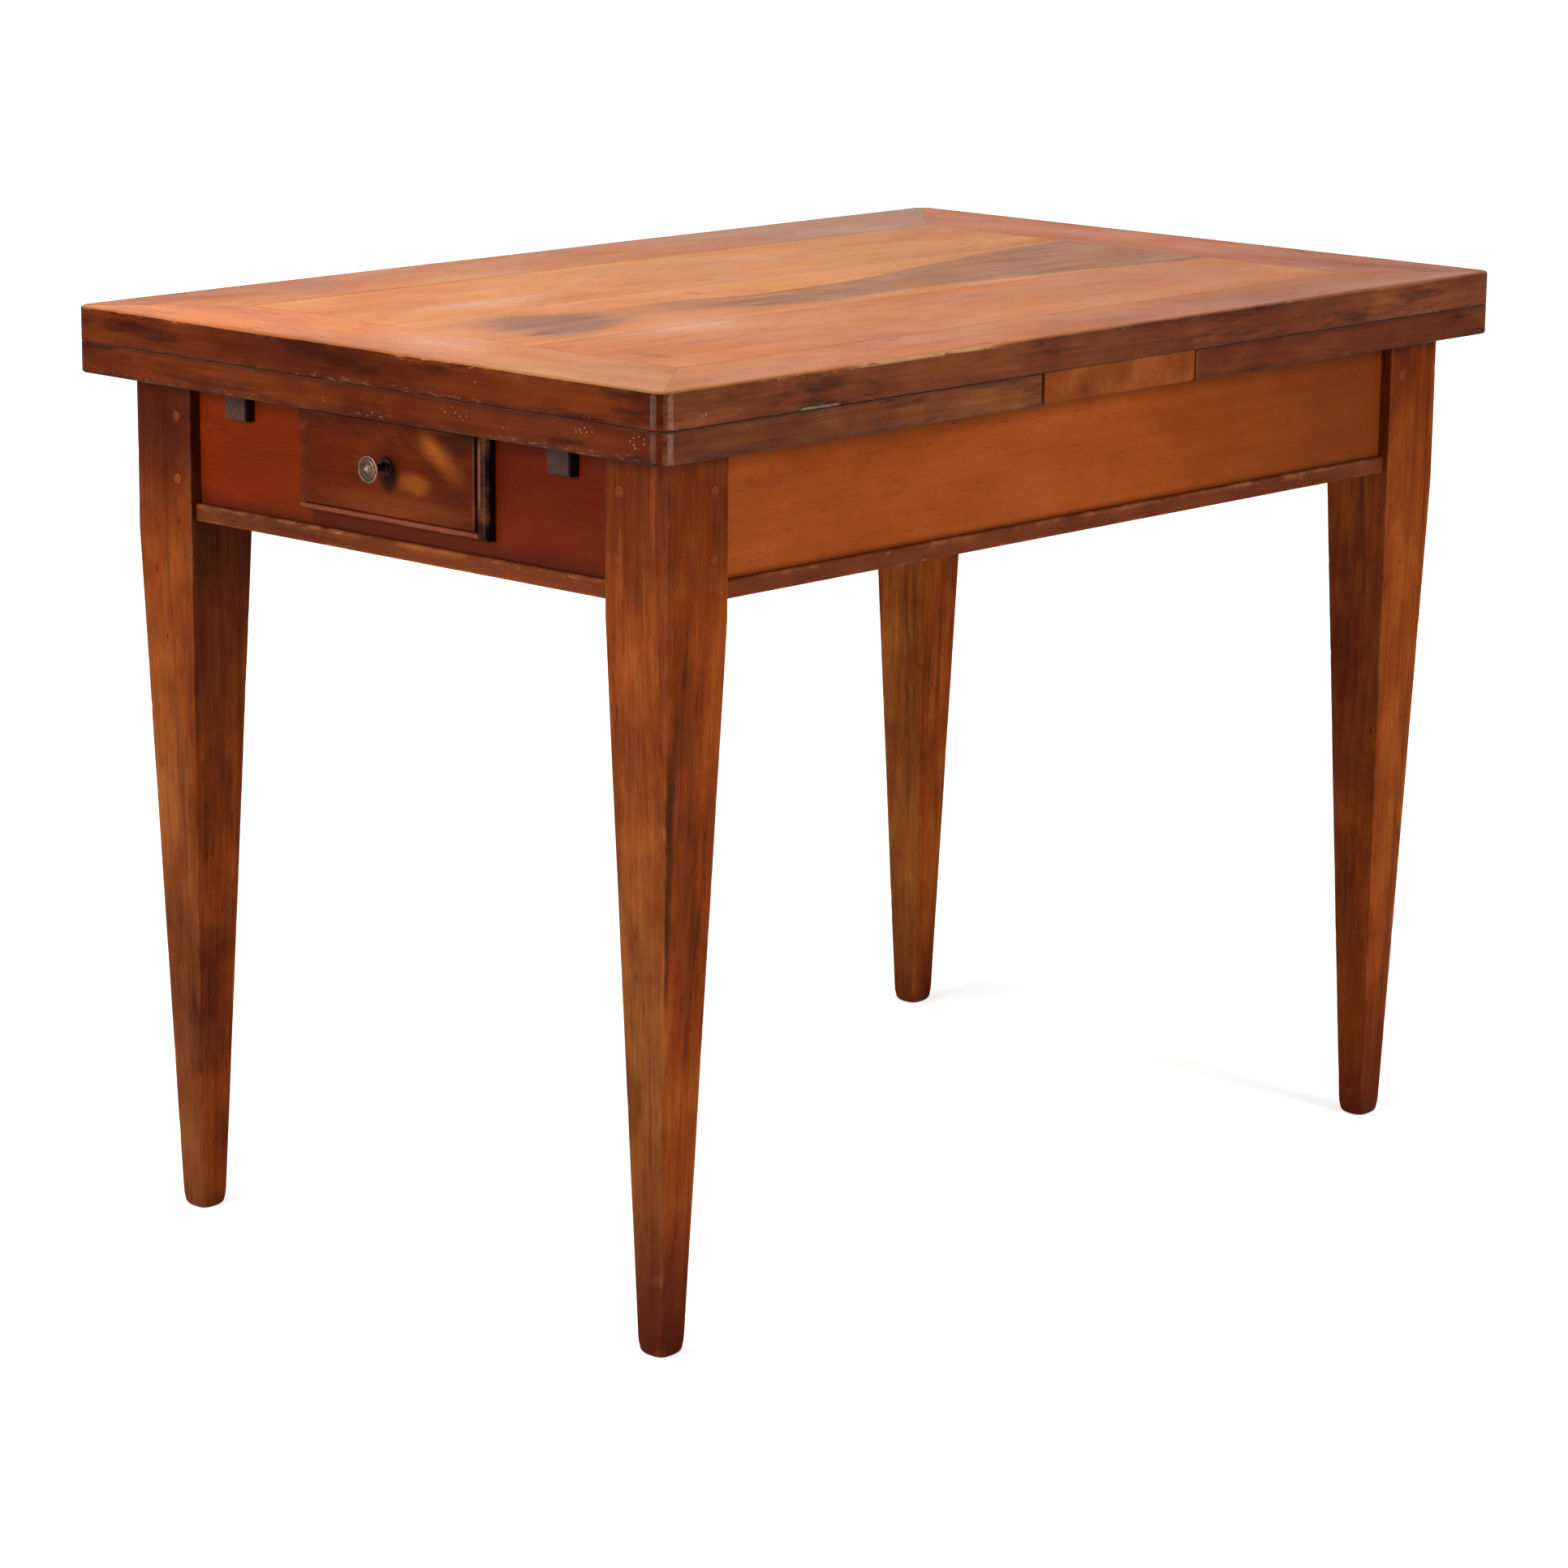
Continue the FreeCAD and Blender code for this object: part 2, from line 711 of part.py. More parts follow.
def make_leaf(side, way, inner_x, travel, offset, rail_face, past_stop):
    outer_x = way * half_length
    bearer_outer = way * (leg_face_x - bearer_recess)
    bearer_inner = inner_x - way * glue_line
    screw_run = inner_x - way * leaf_inner_rail_width / 2 - way * (leg_face_x - leaf_border / 2)
    screw_xs = [way * (leg_face_x - leaf_border / 2) + share * screw_run for share in leaf_screw_shares]
    screw_places = [(x, y) for x in screw_xs for y in (-offset, offset)]
    head = bearer_underside + screw_sink
    holes = [screw_hole(x, y, head, 1, leaf_screw_length) for x, y in screw_places]

    stop_x = rail_face - way * (travel + stop_peg_gap + stop_peg_radius)
    tail_x = stop_x - way * past_stop
    stop_low = bearer_underside - stop_peg_drop
    stop_length = stop_peg_drop + stop_peg_sunk
    up = Vector(0, 0, 1)
    stops = [rod(stop_x, y, stop_low, up, stop_peg_radius, stop_length) for y in (-offset, offset)]
    stop_holes = [rod(stop_x, y, stop_low, up, stop_peg_radius + glue_line, stop_length + glue_line)
                  for y in (-offset, offset)]

    square_end = "right" if way < 0 else "left"
    wide = (leaf_border, leaf_inner_rail_width) if way < 0 else (leaf_inner_rail_width, leaf_border)
    span_x = (outer_x, inner_x) if way < 0 else (inner_x, outer_x)
    arrises = (leaf_arris_radius, leaf_under_arris_radius)
    pieces = framed_panel(side + "_leaf", span_x, (-half_width, half_width), (leaf_underside, leaf_top),
                          wide + (leaf_border, leaf_border), arrises, square_end, ())
    for name, shape in pieces.items():
        save(name, [cut_by(shape, holes)])
    for y, place in ((-offset, "front"), (offset, "back")):
        shape = bearer(bearer_outer, bearer_inner, tail_x, y)
        save(side + "_leaf_bearer_" + place, [cut_by(shape, holes + stop_holes)])
    save(side + "_leaf_screws", [slotted_screw(x, y, head, 1, leaf_screw_length) for x, y in screw_places])
    save(side + "_leaf_stop_pegs", stops)


def make_leaves():
    make_leaf("left", -1, left_leaf_inner, left_leaf_travel, left_bearer_offset,
              left_rail_x + cross_rail_thickness, left_bearer_past_stop)
    make_leaf("right", 1, right_leaf_inner, right_leaf_travel, right_bearer_offset,
              right_rail_x, right_bearer_past_stop)


# Drawer

lip_back = -apron_face_x - drawer_lip_gap
lip_face = lip_back - drawer_lip_thickness
field_face = lip_face - drawer_field_proud
lip_half = half_opening + drawer_lip_overlap_side
lip_low = opening_low - drawer_lip_overlap_below
lip_high = frame_top - drawer_lip_top_gap
body_back = lip_back + drawer_front_body
drawer_end = left_rail_x - drawer_back_clearance
drawer_travel = drawer_end - lip_back - drawer_held
drawer_half = half_opening - drawer_side_clearance
side_low = opening_low + drawer_floor_clearance
body_high = opening_high - drawer_top_clearance
side_high = body_high - drawer_side_drop
bottom_low = side_low + drawer_bottom_rise
bottom_high = bottom_low + drawer_bottom_thickness
knob_y = knob_shift
knob_z = lip_low + knob_height_share * (lip_high - lip_low)


def dovetails():
    low = side_low + dovetail_margin
    pitch = (side_high - dovetail_margin - low) / dovetail_count
    root = pitch * dovetail_root_share / 2
    tip = pitch * dovetail_tip_share / 2
    tails = []
    for index in range(dovetail_count):
        middle = low + pitch * (index + 0.5)
        tails.append(prism([
            Vector(body_back, drawer_half - drawer_side_thickness, middle - root),
            Vector(body_back, drawer_half - drawer_side_thickness, middle + root),
            Vector(body_back - dovetail_length, drawer_half - drawer_side_thickness, middle + tip),
            Vector(body_back - dovetail_length, drawer_half - drawer_side_thickness, middle - tip),
        ], Vector(0, drawer_side_thickness, 0)))
    return tails


def drawer_bottom_slab(side_reach, front_reach):
    half = drawer_half - drawer_side_thickness + side_reach
    return box(body_back - front_reach, drawer_end, -half, half, bottom_low, bottom_high)


def drawer_front():
    lip = box(lip_face, lip_back, -lip_half, lip_half, lip_low, lip_high)
    lip = rounded(lip, drawer_lip_round, lambda b: close(b.XMax, lip_face))
    field_half = lip_half - drawer_field_inset_side
    field_low = lip_low + drawer_field_inset_height
    field_high = lip_high - drawer_field_inset_height
    ring_half = field_half + drawer_groove_width
    ring_low = field_low - drawer_groove_width
    ring_high = field_high + drawer_groove_width
    ring = box(lip_face - overrun, lip_face + drawer_groove_depth, -ring_half, ring_half, ring_low, ring_high)
    field = box(field_face, lip_back, -field_half, field_half, field_low, field_high)
    body = box(lip_back, body_back, -drawer_half, drawer_half, side_low, body_high)
    front = joined([lip.cut(ring), field, body])
    tails = dovetails()
    stud = rod(field_face - overrun, knob_y, knob_z, Vector(1, 0, 0), knob_stud_radius + knob_stud_clearance,
               body_back - field_face + 2 * overrun)
    sockets = tails + [mirrored(tail, Vector(0, 1, 0)) for tail in tails]
    return cut_by(front, sockets + [stud, drawer_bottom_slab(0, drawer_bottom_groove)])


def make_drawer():
    save("drawer_front", [drawer_front()])
    inner = drawer_half - drawer_side_thickness
    back_x = drawer_end - drawer_back_thickness
    back_reach = inner + drawer_back_dado
    back = box(back_x, drawer_end, -back_reach, back_reach, bottom_high, side_high - drawer_back_drop)
    side = box(body_back, drawer_end, inner, drawer_half, side_low, side_high)
    side = joined([side] + dovetails())
    side = cut_by(side, [back, drawer_bottom_slab(drawer_bottom_groove, drawer_bottom_groove)])
    save("drawer_side_back", [side])
    save("drawer_side_front", [mirrored(side, Vector(0, 1, 0))])
    save("drawer_back", [back])
    reach = drawer_bottom_groove - drawer_bottom_gap
    flush = drawer_bottom_slab(0, reach)
    wide = drawer_bottom_slab(reach, 0)
    save("drawer_bottom", [joined([flush, wide])])


def turned(profile, x0):
    points = [Vector(x0 + along, knob_y + radius, knob_z) for along, radius in profile]
    face = Part.Face(Part.makePolygon(points + points[:1]))
    return face.revolve(Vector(0, knob_y, knob_z), Vector(1, 0, 0), 360)


def knob_profile():
    rise = knob_flange_height
    profile = [(0, 0), (0, knob_flange_radius), (-rise / 2, knob_flange_radius)]
    profile += [(-rise, knob_flange_radius - rise / 2), (-rise, knob_neck_radius + rise)]
    rise += knob_throat_length / 2
    profile.append((-rise, knob_neck_radius))
    rise += knob_neck_length - knob_throat_length
    profile.append((-rise, knob_neck_radius))
    profile += [(-rise, knob_collar_radius - knob_collar_height / 2)]
    profile += [(-rise - knob_collar_height / 2, knob_collar_radius)]
    rise += knob_collar_height
    profile += [(-rise, knob_collar_radius - knob_collar_height / 2), (-rise, knob_neck_radius)]
    rise += knob_throat_length
    ease = knob_disc_round
    profile += [(-rise, knob_disc_radius - ease), (-rise - ease, knob_disc_radius)]
    rise += knob_disc_thickness
    rim_inner = knob_disc_radius - knob_rim_width
    profile += [(-rise + ease, knob_disc_radius), (-rise, knob_disc_radius - ease), (-rise, rim_inner)]
    rise -= knob_rim_depth
    profile += [(-rise, rim_inner - knob_rim_depth), (-rise, knob_step_radius + knob_step_height)]
    rise += knob_step_height
    profile += [(-rise, knob_step_radius), (-rise, knob_boss_radius + knob_boss_height / 2)]
    rise += knob_boss_height
    profile += [(-rise + knob_boss_height / 2, knob_boss_radius)]
    profile += [(-rise, knob_tip_radius + knob_tip_height / 2)]
    rise += knob_tip_height
    profile += [(-rise + knob_tip_height / 2, knob_tip_radius), (-rise, knob_tip_radius / 2), (-rise, 0)]
    return profile


def make_knob():
    washer_face = body_back + washer_thickness
    nut_face = washer_face + nut_thickness
    stud_length = nut_face + knob_stud_past_nut - field_face
    stud = rod(field_face, knob_y, knob_z, Vector(1, 0, 0), knob_stud_radius, stud_length)
    save("drawer_knob", [joined([turned(knob_profile(), field_face), stud])])
    bore_start = body_back - overrun
    bore_length = nut_face - bore_start + overrun
    axis = Vector(1, 0, 0)
    bore = rod(bore_start, knob_y, knob_z, axis, knob_stud_radius + glue_line, bore_length)
    washer = rod(body_back, knob_y, knob_z, axis, washer_radius, washer_thickness)
    save("knob_washer", [washer.cut(bore)])
    half = nut_size / 2
    nut = box(washer_face, nut_face, knob_y - half, knob_y + half, knob_z - half, knob_z + half)
    save("knob_nut", [nut.cut(bore)])


os.makedirs("parts", exist_ok=True)
make_legs()
make_joint_pegs()
make_left_end_boards()
make_drawer_rails()
make_right_end_apron()
make_side_aprons()
make_strips()
make_cross_rail("left_cross_rail", left_rail_x, left_bearer_offset, right_bearer_offset)
make_cross_rail("right_cross_rail", right_rail_x, right_bearer_offset, left_bearer_offset)
make_centre_board()
make_runners()
make_top()
make_leaves()
make_drawer()
make_knob()
print("leaf travels %.1f %.1f, drawer %.1f, top %.1f" % (left_leaf_travel, right_leaf_travel,
                                                       drawer_travel, top_lift_travel))
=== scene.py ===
import json
import math
from collections import namedtuple

import bpy
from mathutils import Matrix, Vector, noise


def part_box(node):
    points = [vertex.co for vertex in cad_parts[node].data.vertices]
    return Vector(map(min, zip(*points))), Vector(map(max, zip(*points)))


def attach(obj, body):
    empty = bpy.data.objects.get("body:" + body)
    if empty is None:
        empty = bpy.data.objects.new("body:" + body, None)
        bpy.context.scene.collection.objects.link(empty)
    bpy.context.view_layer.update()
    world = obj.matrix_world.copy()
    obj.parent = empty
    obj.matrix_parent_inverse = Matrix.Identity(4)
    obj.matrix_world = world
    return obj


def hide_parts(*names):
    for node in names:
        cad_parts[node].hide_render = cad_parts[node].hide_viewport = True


# Looks of a draw-leaf table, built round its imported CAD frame. Metres, +Z up, drawer end -X, front -Y.

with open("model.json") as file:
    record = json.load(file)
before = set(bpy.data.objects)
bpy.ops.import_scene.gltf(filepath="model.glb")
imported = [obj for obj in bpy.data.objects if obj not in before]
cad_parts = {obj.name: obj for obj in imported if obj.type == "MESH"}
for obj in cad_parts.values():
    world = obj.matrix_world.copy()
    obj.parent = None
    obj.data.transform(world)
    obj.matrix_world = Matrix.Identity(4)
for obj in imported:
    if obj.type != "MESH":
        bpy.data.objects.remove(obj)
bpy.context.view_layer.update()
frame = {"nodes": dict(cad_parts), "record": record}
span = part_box
MM = 0.001


def mm(*values):
    """Millimetres as metres."""
    return [value * MM for value in values]


def linear(r, g, b):
    """An sRGB colour, 0 to 255 a channel, as the linear colour that nodes take."""
    channels = [c / 255 for c in (r, g, b)]
    return tuple(c / 12.92 if c < 0.04045 else ((c + 0.055) / 1.055) ** 2.4 for c in channels)


# Node trees

class Graph:
    """Short calls that add nodes to an emptied tree. A value is a number, a tuple or a node's socket."""

    def __init__(self, tree):
        tree.nodes.clear()
        self.tree = tree

    def node(self, kind, *values, **settings):
        """A node with these settings and these values in its first inputs."""
        made = self.tree.nodes.new("ShaderNode" + kind)
        for key, value in settings.items():
            setattr(made, key, value)
        for socket, value in zip(made.inputs, values):
            self.put(socket, value)
        return made

    def put(self, socket, value):
        if isinstance(value, bpy.types.NodeSocket):
            self.tree.links.new(value, socket)
        elif isinstance(value, tuple) and len(value) == 3 and len(socket.default_value) == 4:
            socket.default_value = value + (1,)
        else:
            socket.default_value = value

    def fill(self, made, values):
        for name, value in values.items():
            self.put(made.inputs[name], value)
        return made

    def math(self, operation, a, b=0):
        return self.node("Math", a, b, operation=operation).outputs[0]

    def fold(self, operation, values):
        total, *others = values
        for value in others:
            total = self.math(operation, total, value)
        return total

    def add(self, *values):
        return self.fold("ADD", values)

    def times(self, *values):
        return self.fold("MULTIPLY", values)

    def less(self, a, b):
        return self.math("SUBTRACT", a, b)

    def swing(self, value, reach):
        """A value from 0 to 1 made to swing by half of reach either way."""
        return self.times(self.less(value, 0.5), reach)

    def line(self, value, low, high, to_low=0, to_high=1, kind="LINEAR"):
        """Goes from to_low to to_high while value goes from low to high, and is held at its ends."""
        return self.node("MapRange", value, low, high, to_low, to_high, interpolation_type=kind).outputs[0]

    def step(self, value, low, high, to_low=0, to_high=1):
        """The smooth form of line."""
        return self.line(value, low, high, to_low, to_high, "SMOOTHSTEP")

    def fall(self, value, low, high):
        return self.step(value, low, high, 1, 0)

    def near(self, value, target, core, reach):
        """1 where value is within core of target, falling to 0 at reach."""
        return self.fall(self.math("ABSOLUTE", self.less(value, target)), core, reach)

    def oval(self, first, second, a, b, half_a, half_b):
        """The squared distance from (a, b), 1 on the oval with these half lengths."""
        first = self.times(self.less(first, a), 1 / half_a)
        second = self.times(self.less(second, b), 1 / half_b)
        return self.add(self.times(first, first), self.times(second, second))

    def vector(self, operation, a, b):
        made = self.node("VectorMath", a, b, operation=operation)
        return made.outputs["Value" if operation == "LENGTH" else "Vector"]

    def combine(self, x, y, z):
        return self.node("CombineXYZ", x, y, z).outputs[0]

    def separate(self, vector):
        return tuple(self.node("SeparateXYZ", vector).outputs)

    def noise(self, vector, scale, detail, roughness=0.5):
        values = {"Vector": vector, "Scale": scale, "Detail": detail, "Roughness": roughness}
        return self.fill(self.node("TexNoise"), values).outputs[0]

    def mix(self, factor, a, b, blend="MIX"):
        made = self.node("Mix", factor, data_type="RGBA", blend_type=blend)
        self.put(made.inputs[6], a)
        self.put(made.inputs[7], b)
        return made.outputs[2]

    def dye(self, colour, tint):
        return self.mix(1, colour, tint, "MULTIPLY")

    def paint(self, colour, paint, *shares):
        """An sRGB paint laid over a colour, as strongly as the product of the shares."""
        return self.mix(self.times(*shares), colour, linear(*paint))

    def attribute(self, name):
        return self.node("Attribute", attribute_name=name).outputs["Fac"]

    def place(self):
        return self.node("TexCoord").outputs["Object"]

    def curve(self, value, points):
        """A smooth curve through points given as (input, output), both from 0 to 1."""
        made = self.fill(self.node("FloatCurve"), {"Value": value})
        line = made.mapping.curves[0]
        while len(line.points) < len(points):
            line.points.new(0.5, 0.5)
        for point, place in zip(line.points, points):
            point.location = place
        made.mapping.update()
        return made.outputs[0]

    def relief(self, shader, height, strength, distance):
        bump = self.fill(self.node("Bump"), {"Strength": strength, "Distance": distance, "Height": height})
        self.put(shader.inputs["Normal"], bump.outputs[0])


# Wood

AXES = {"x": (0, 1, 2), "y": (1, 0, 2), "z": (2, 0, 1)}
RING_SWAY = 0.07


class Wood(Graph):
    """One board's timber: places and noise along its grain, and its colour with the marks laid so far."""

    def __init__(self, tree, name, seed):
        super().__init__(tree)
        self.name = name
        places = self.separate(self.place())
        self.x, self.y, self.z = places
        self.along, self.across, self.through = [places[index] for index in AXES[grain_of(name)]]
        offset = ((seed * 7.31) % 11, (seed * 3.77) % 9, (seed * 5.13) % 10)
        self.board = self.vector("ADD", self.combine(self.along, self.across, self.through), offset)
        facing = self.separate(self.node("TexCoord").outputs["Normal"])
        self.facing_end = self.fall(facing[0], -0.75, -0.45)
        self.facing_front = self.fall(facing[1], -0.75, -0.45)
        self.facing_up = facing[2]
        self.cloud = self.grain(14, 30, 3, 0.6)

    def stain(self, paint, *shares):
        """Lays an sRGB paint over the board's colour, as strongly as the product of the shares."""
        self.colour = self.paint(self.colour, paint, *shares)

    def stretched(self, along, across):
        return self.vector("MULTIPLY", self.board, (along, across, across))

    def grain(self, along, across, detail, roughness=0.5):
        """Noise with about this many features a metre along and across the grain."""
        return self.noise(self.stretched(along, across), 1, detail, roughness)

    def patches(self, along, across, detail, roughness, low, high):
        """The same, cut to 0 below low and 1 above high."""
        return self.step(self.grain(along, across, detail, roughness), low, high)

    def rings(self, pith, spacing):
        """Growth rings round a pith that lies (across, through) from the table's centre line."""
        bend = self.grain(1.6, 7, 2)
        fine = self.grain(9, 60, 2)
        a = self.add(self.across, -pith[0], self.swing(bend, RING_SWAY))
        b = self.add(self.through, -pith[1], self.swing(fine, RING_SWAY * 0.12))
        radius = self.math("SQRT", self.add(self.times(a, a), self.times(b, b)))
        turn = self.add(self.times(radius, 1 / spacing), self.times(bend, 3))
        phase = self.math("FRACT", turn)
        drawn = self.fill(self.node("TexWhiteNoise", noise_dimensions="1D"), {"W": self.math("FLOOR", turn)})
        force = self.line(drawn.outputs["Value"], 0, 1, 0.35, 1)
        return self.times(self.math("POWER", phase, 2.4), self.fall(phase, 0.9, 1), force)

    def fibres(self):
        coarse, fine = self.grain(5, 210, 3, 0.62), self.grain(16, 900, 2, 0.6)
        return self.add(self.times(coarse, 0.6), self.times(fine, 0.4))

    def pores(self, amount):
        """Short dark dashes along the grain."""
        small = self.patches(95, 1500, 1, 0.4, 0.64 - amount * 0.05, 0.72)
        large = self.patches(46, 620, 1, 0.4, 0.7 - amount * 0.05, 0.76)
        return self.math("MAXIMUM", self.times(small, 0.7), large)

    def flecks(self, along, across, least, gather=0.52):
        """Small ragged marks that gather in places; a higher least leaves fewer."""
        fine = self.patches(along, across, 2, 0.55, least, least + 0.03)
        return self.times(fine, self.patches(9, 17, 2, 0.5, gather, gather + 0.1))

    def blob(self, a, b, half_a, half_b, soft, rough, upright=False):
        """A ragged oval in millimetres, 1 inside and 0 outside, on a level face or an upright end face."""
        first, second = (self.y, self.z) if upright else (self.x, self.y)
        reach = self.math("SQRT", self.oval(first, second, *mm(a, b, half_a, half_b)))
        return self.fall(self.add(reach, self.swing(self.cloud, rough * 2)), 1 - soft, 1 + soft)


def surface(name, view_colour, kind=Graph, *board):
    """A new material, its tree as a Graph or a Wood, and its shader."""
    material = bpy.data.materials.new(name)
    material.use_nodes = True
    material.diffuse_color = view_colour + (1,)
    graph = kind(material.node_tree, *board)
    shader = graph.node("BsdfPrincipled")
    graph.node("OutputMaterial", shader.outputs[0])
    return material, graph, shader


# sRGB colours of each timber: dark, middle, light
COLOURS = {
    "panel_wood": ((176, 96, 48), (212, 130, 66), (232, 156, 86)),
    "border_wood": ((150, 76, 36), (196, 112, 56), (220, 140, 76)),
    "leaf_wood": ((66, 24, 8), (104, 45, 19), (134, 66, 34)),
    "leaf_upper": ((150, 74, 34), (184, 100, 48), (208, 128, 70)),
    "edge_wood": ((64, 22, 8), (104, 43, 18), (136, 66, 34)),
    "leg_wood": ((70, 24, 6), (128, 57, 19), (160, 84, 34)),
    "side_apron_wood": ((120, 50, 13), (150, 70, 22), (168, 86, 34)),
    "end_apron_wood": ((90, 26, 5), (116, 38, 9), (134, 50, 15)),
    "strip_wood": ((64, 25, 8), (104, 47, 20), (134, 69, 32)),
    "drawer_front_wood": ((60, 22, 5), (98, 38, 10), (126, 58, 20)),
    "centre_board_wood": ((110, 48, 18), (138, 67, 28), (166, 92, 48)),
    "bearer_wood": ((46, 30, 25), (84, 60, 50), (108, 82, 70)),
    "inner_wood": ((142, 98, 58), (180, 136, 90), (202, 162, 114)),
    "peg_wood": ((84, 34, 12), (118, 54, 22), (142, 74, 36)),
}
# How strongly each timber shows fibres, rings, pores, clouds, dirt and pale chips, how far its rings stand
# apart in millimetres, and how matt it is
Figure = namedtuple("Figure", "fibre rings spacing pores clouds dirt chips matt")
FIGURE = {
    "panel_wood": Figure(0.8, 0.1, 13, 0.35, 0.42, 0.6, 0, 0.42),
    "border_wood": Figure(0.8, 0.12, 9, 0.35, 0.5, 0.6, 0.35, 0.36),
    "leaf_wood": Figure(0.8, 0.14, 7, 0.3, 0.6, 0.6, 0.45, 0.36),
    "leg_wood": Figure(0.9, 0.2, 8, 0.35, 0.75, 0.8, 0.08, 0.3),
    "side_apron_wood": Figure(0.45, 0.08, 12, 0.15, 0.42, 0.3, 0.1, 0.34),
    "end_apron_wood": Figure(0.4, 0.06, 11, 0.12, 0.45, 0.2, 0, 0.32),
    "strip_wood": Figure(0.7, 0.12, 6, 0.25, 0.5, 0.4, 0.12, 0.34),
    "drawer_front_wood": Figure(0.6, 0.1, 9, 0.25, 0.55, 0.2, 0.1, 0.28),
    "centre_board_wood": Figure(0.6, 0.1, 5, 0.3, 0.8, 0.6, 0, 0.46),
    "bearer_wood": Figure(1, 0.3, 5, 0.5, 0.6, 0.4, 0, 0.5),
    "inner_wood": Figure(1.2, 0.35, 7, 0.4, 0.4, 0.3, 0, 0.62),
    "peg_wood": Figure(1, 0.3, 3, 0.5, 0.6, 0.3, 0, 0.45),
}
WORN = (190, 112, 66)
CHIPPED = (232, 196, 168)
# A sooty dark, used for dirt, flecks and dark seams, and as painted shade on the bearers' side facing the
# front
SOOT_AND_SHADE = (28, 10, 5)
PORE_TINT = (150, 105, 85)

# Boards that stand apart from others of their timber, as linear shares of its colour
PLAIN = (1, 1, 1)
TINT = {
    "top_board_1": (0.86, 0.74, 0.67), "top_back_border": (0.94, 0.92, 0.8),
    "leg_right_back": (1.5, 1.5, 0.95), "leg_right_front": (1, 0.92, 0.6),
    "leg_left_front": (1.05, 0.98, 0.7), "leg_left_back": (1, 0.97, 0.8),
    "front_strip": (0.78, 0.77, 0.9), "left_end_board_front": (0.66, 0.58, 0.35),
    "left_end_board_back": (0.95, 0.88, 0.5), "drawer_front": (0.82, 0.7, 0.45),
    "left_leaf_bearer_front": (0.52, 0.47, 0.55), "left_leaf_bearer_back": (0.82, 0.78, 0.78),
    "centre_board": (0.86, 0.84, 0.76),
}
# Borders whose upper face changes along their length: (from, to) in millimetres and the shares at both
ALONG_TINT = {
    "top_front_border": ((-510, -250), (0.82, 0.83, 0.6), (0.95, 0.84, 0.56)),
    "top_left_border": ((-260, 220), (0.86, 0.9, 0.76), (1.25, 1.18, 1.02)),
    "top_right_border": ((-150, -10), (0.8, 0.6, 0.3), (1.06, 0.84, 0.5)),
}
EDGE_TINT = {
    "top_left_border": (0.66, 0.58, 0.42), "left_leaf_left_border": (0.66, 0.58, 0.42),
    "top_front_border": (1.12, 1.45, 1.5), "left_leaf_front_border": (1.1, 1.6, 1.6),
    "right_leaf_front_border": (0.85, 0.95, 0.9),
}
# Border boards have a rubbed upper face unlike their edges: its colours, and the two heights of the normal
# between which it gives way to them
UPPER = {"border_wood": ("border_wood", 0.3, 0.7), "leaf_wood": ("leaf_upper", 0.6, 0.95)}
SHEEN = {"panel_wood": 0.05, "border_wood": 0.035, "leaf_wood": 0.05, "leg_wood": 0.04}
EDGE_SHEEN = {"top_front_border": 0.21, "left_leaf_front_border": 0.21, "right_leaf_front_border": 0.15}
OTHER_SHEEN = 0.05
OTHER_EDGE_SHEEN = 0.09
WARM_SHEEN = (1, 0.8, 0.66)
EDGE_GLOSS = 0.15


def shade(w, tone, colours, tint):
    """tone runs 0 to 1 over the dark, middle and light colours."""
    dark, middle, light = (tuple(c * t for c, t in zip(linear(*colour), tint)) for colour in colours)
    return w.mix(w.line(tone, 0.5, 1), w.mix(w.line(tone, 0, 0.5), dark, middle), light)


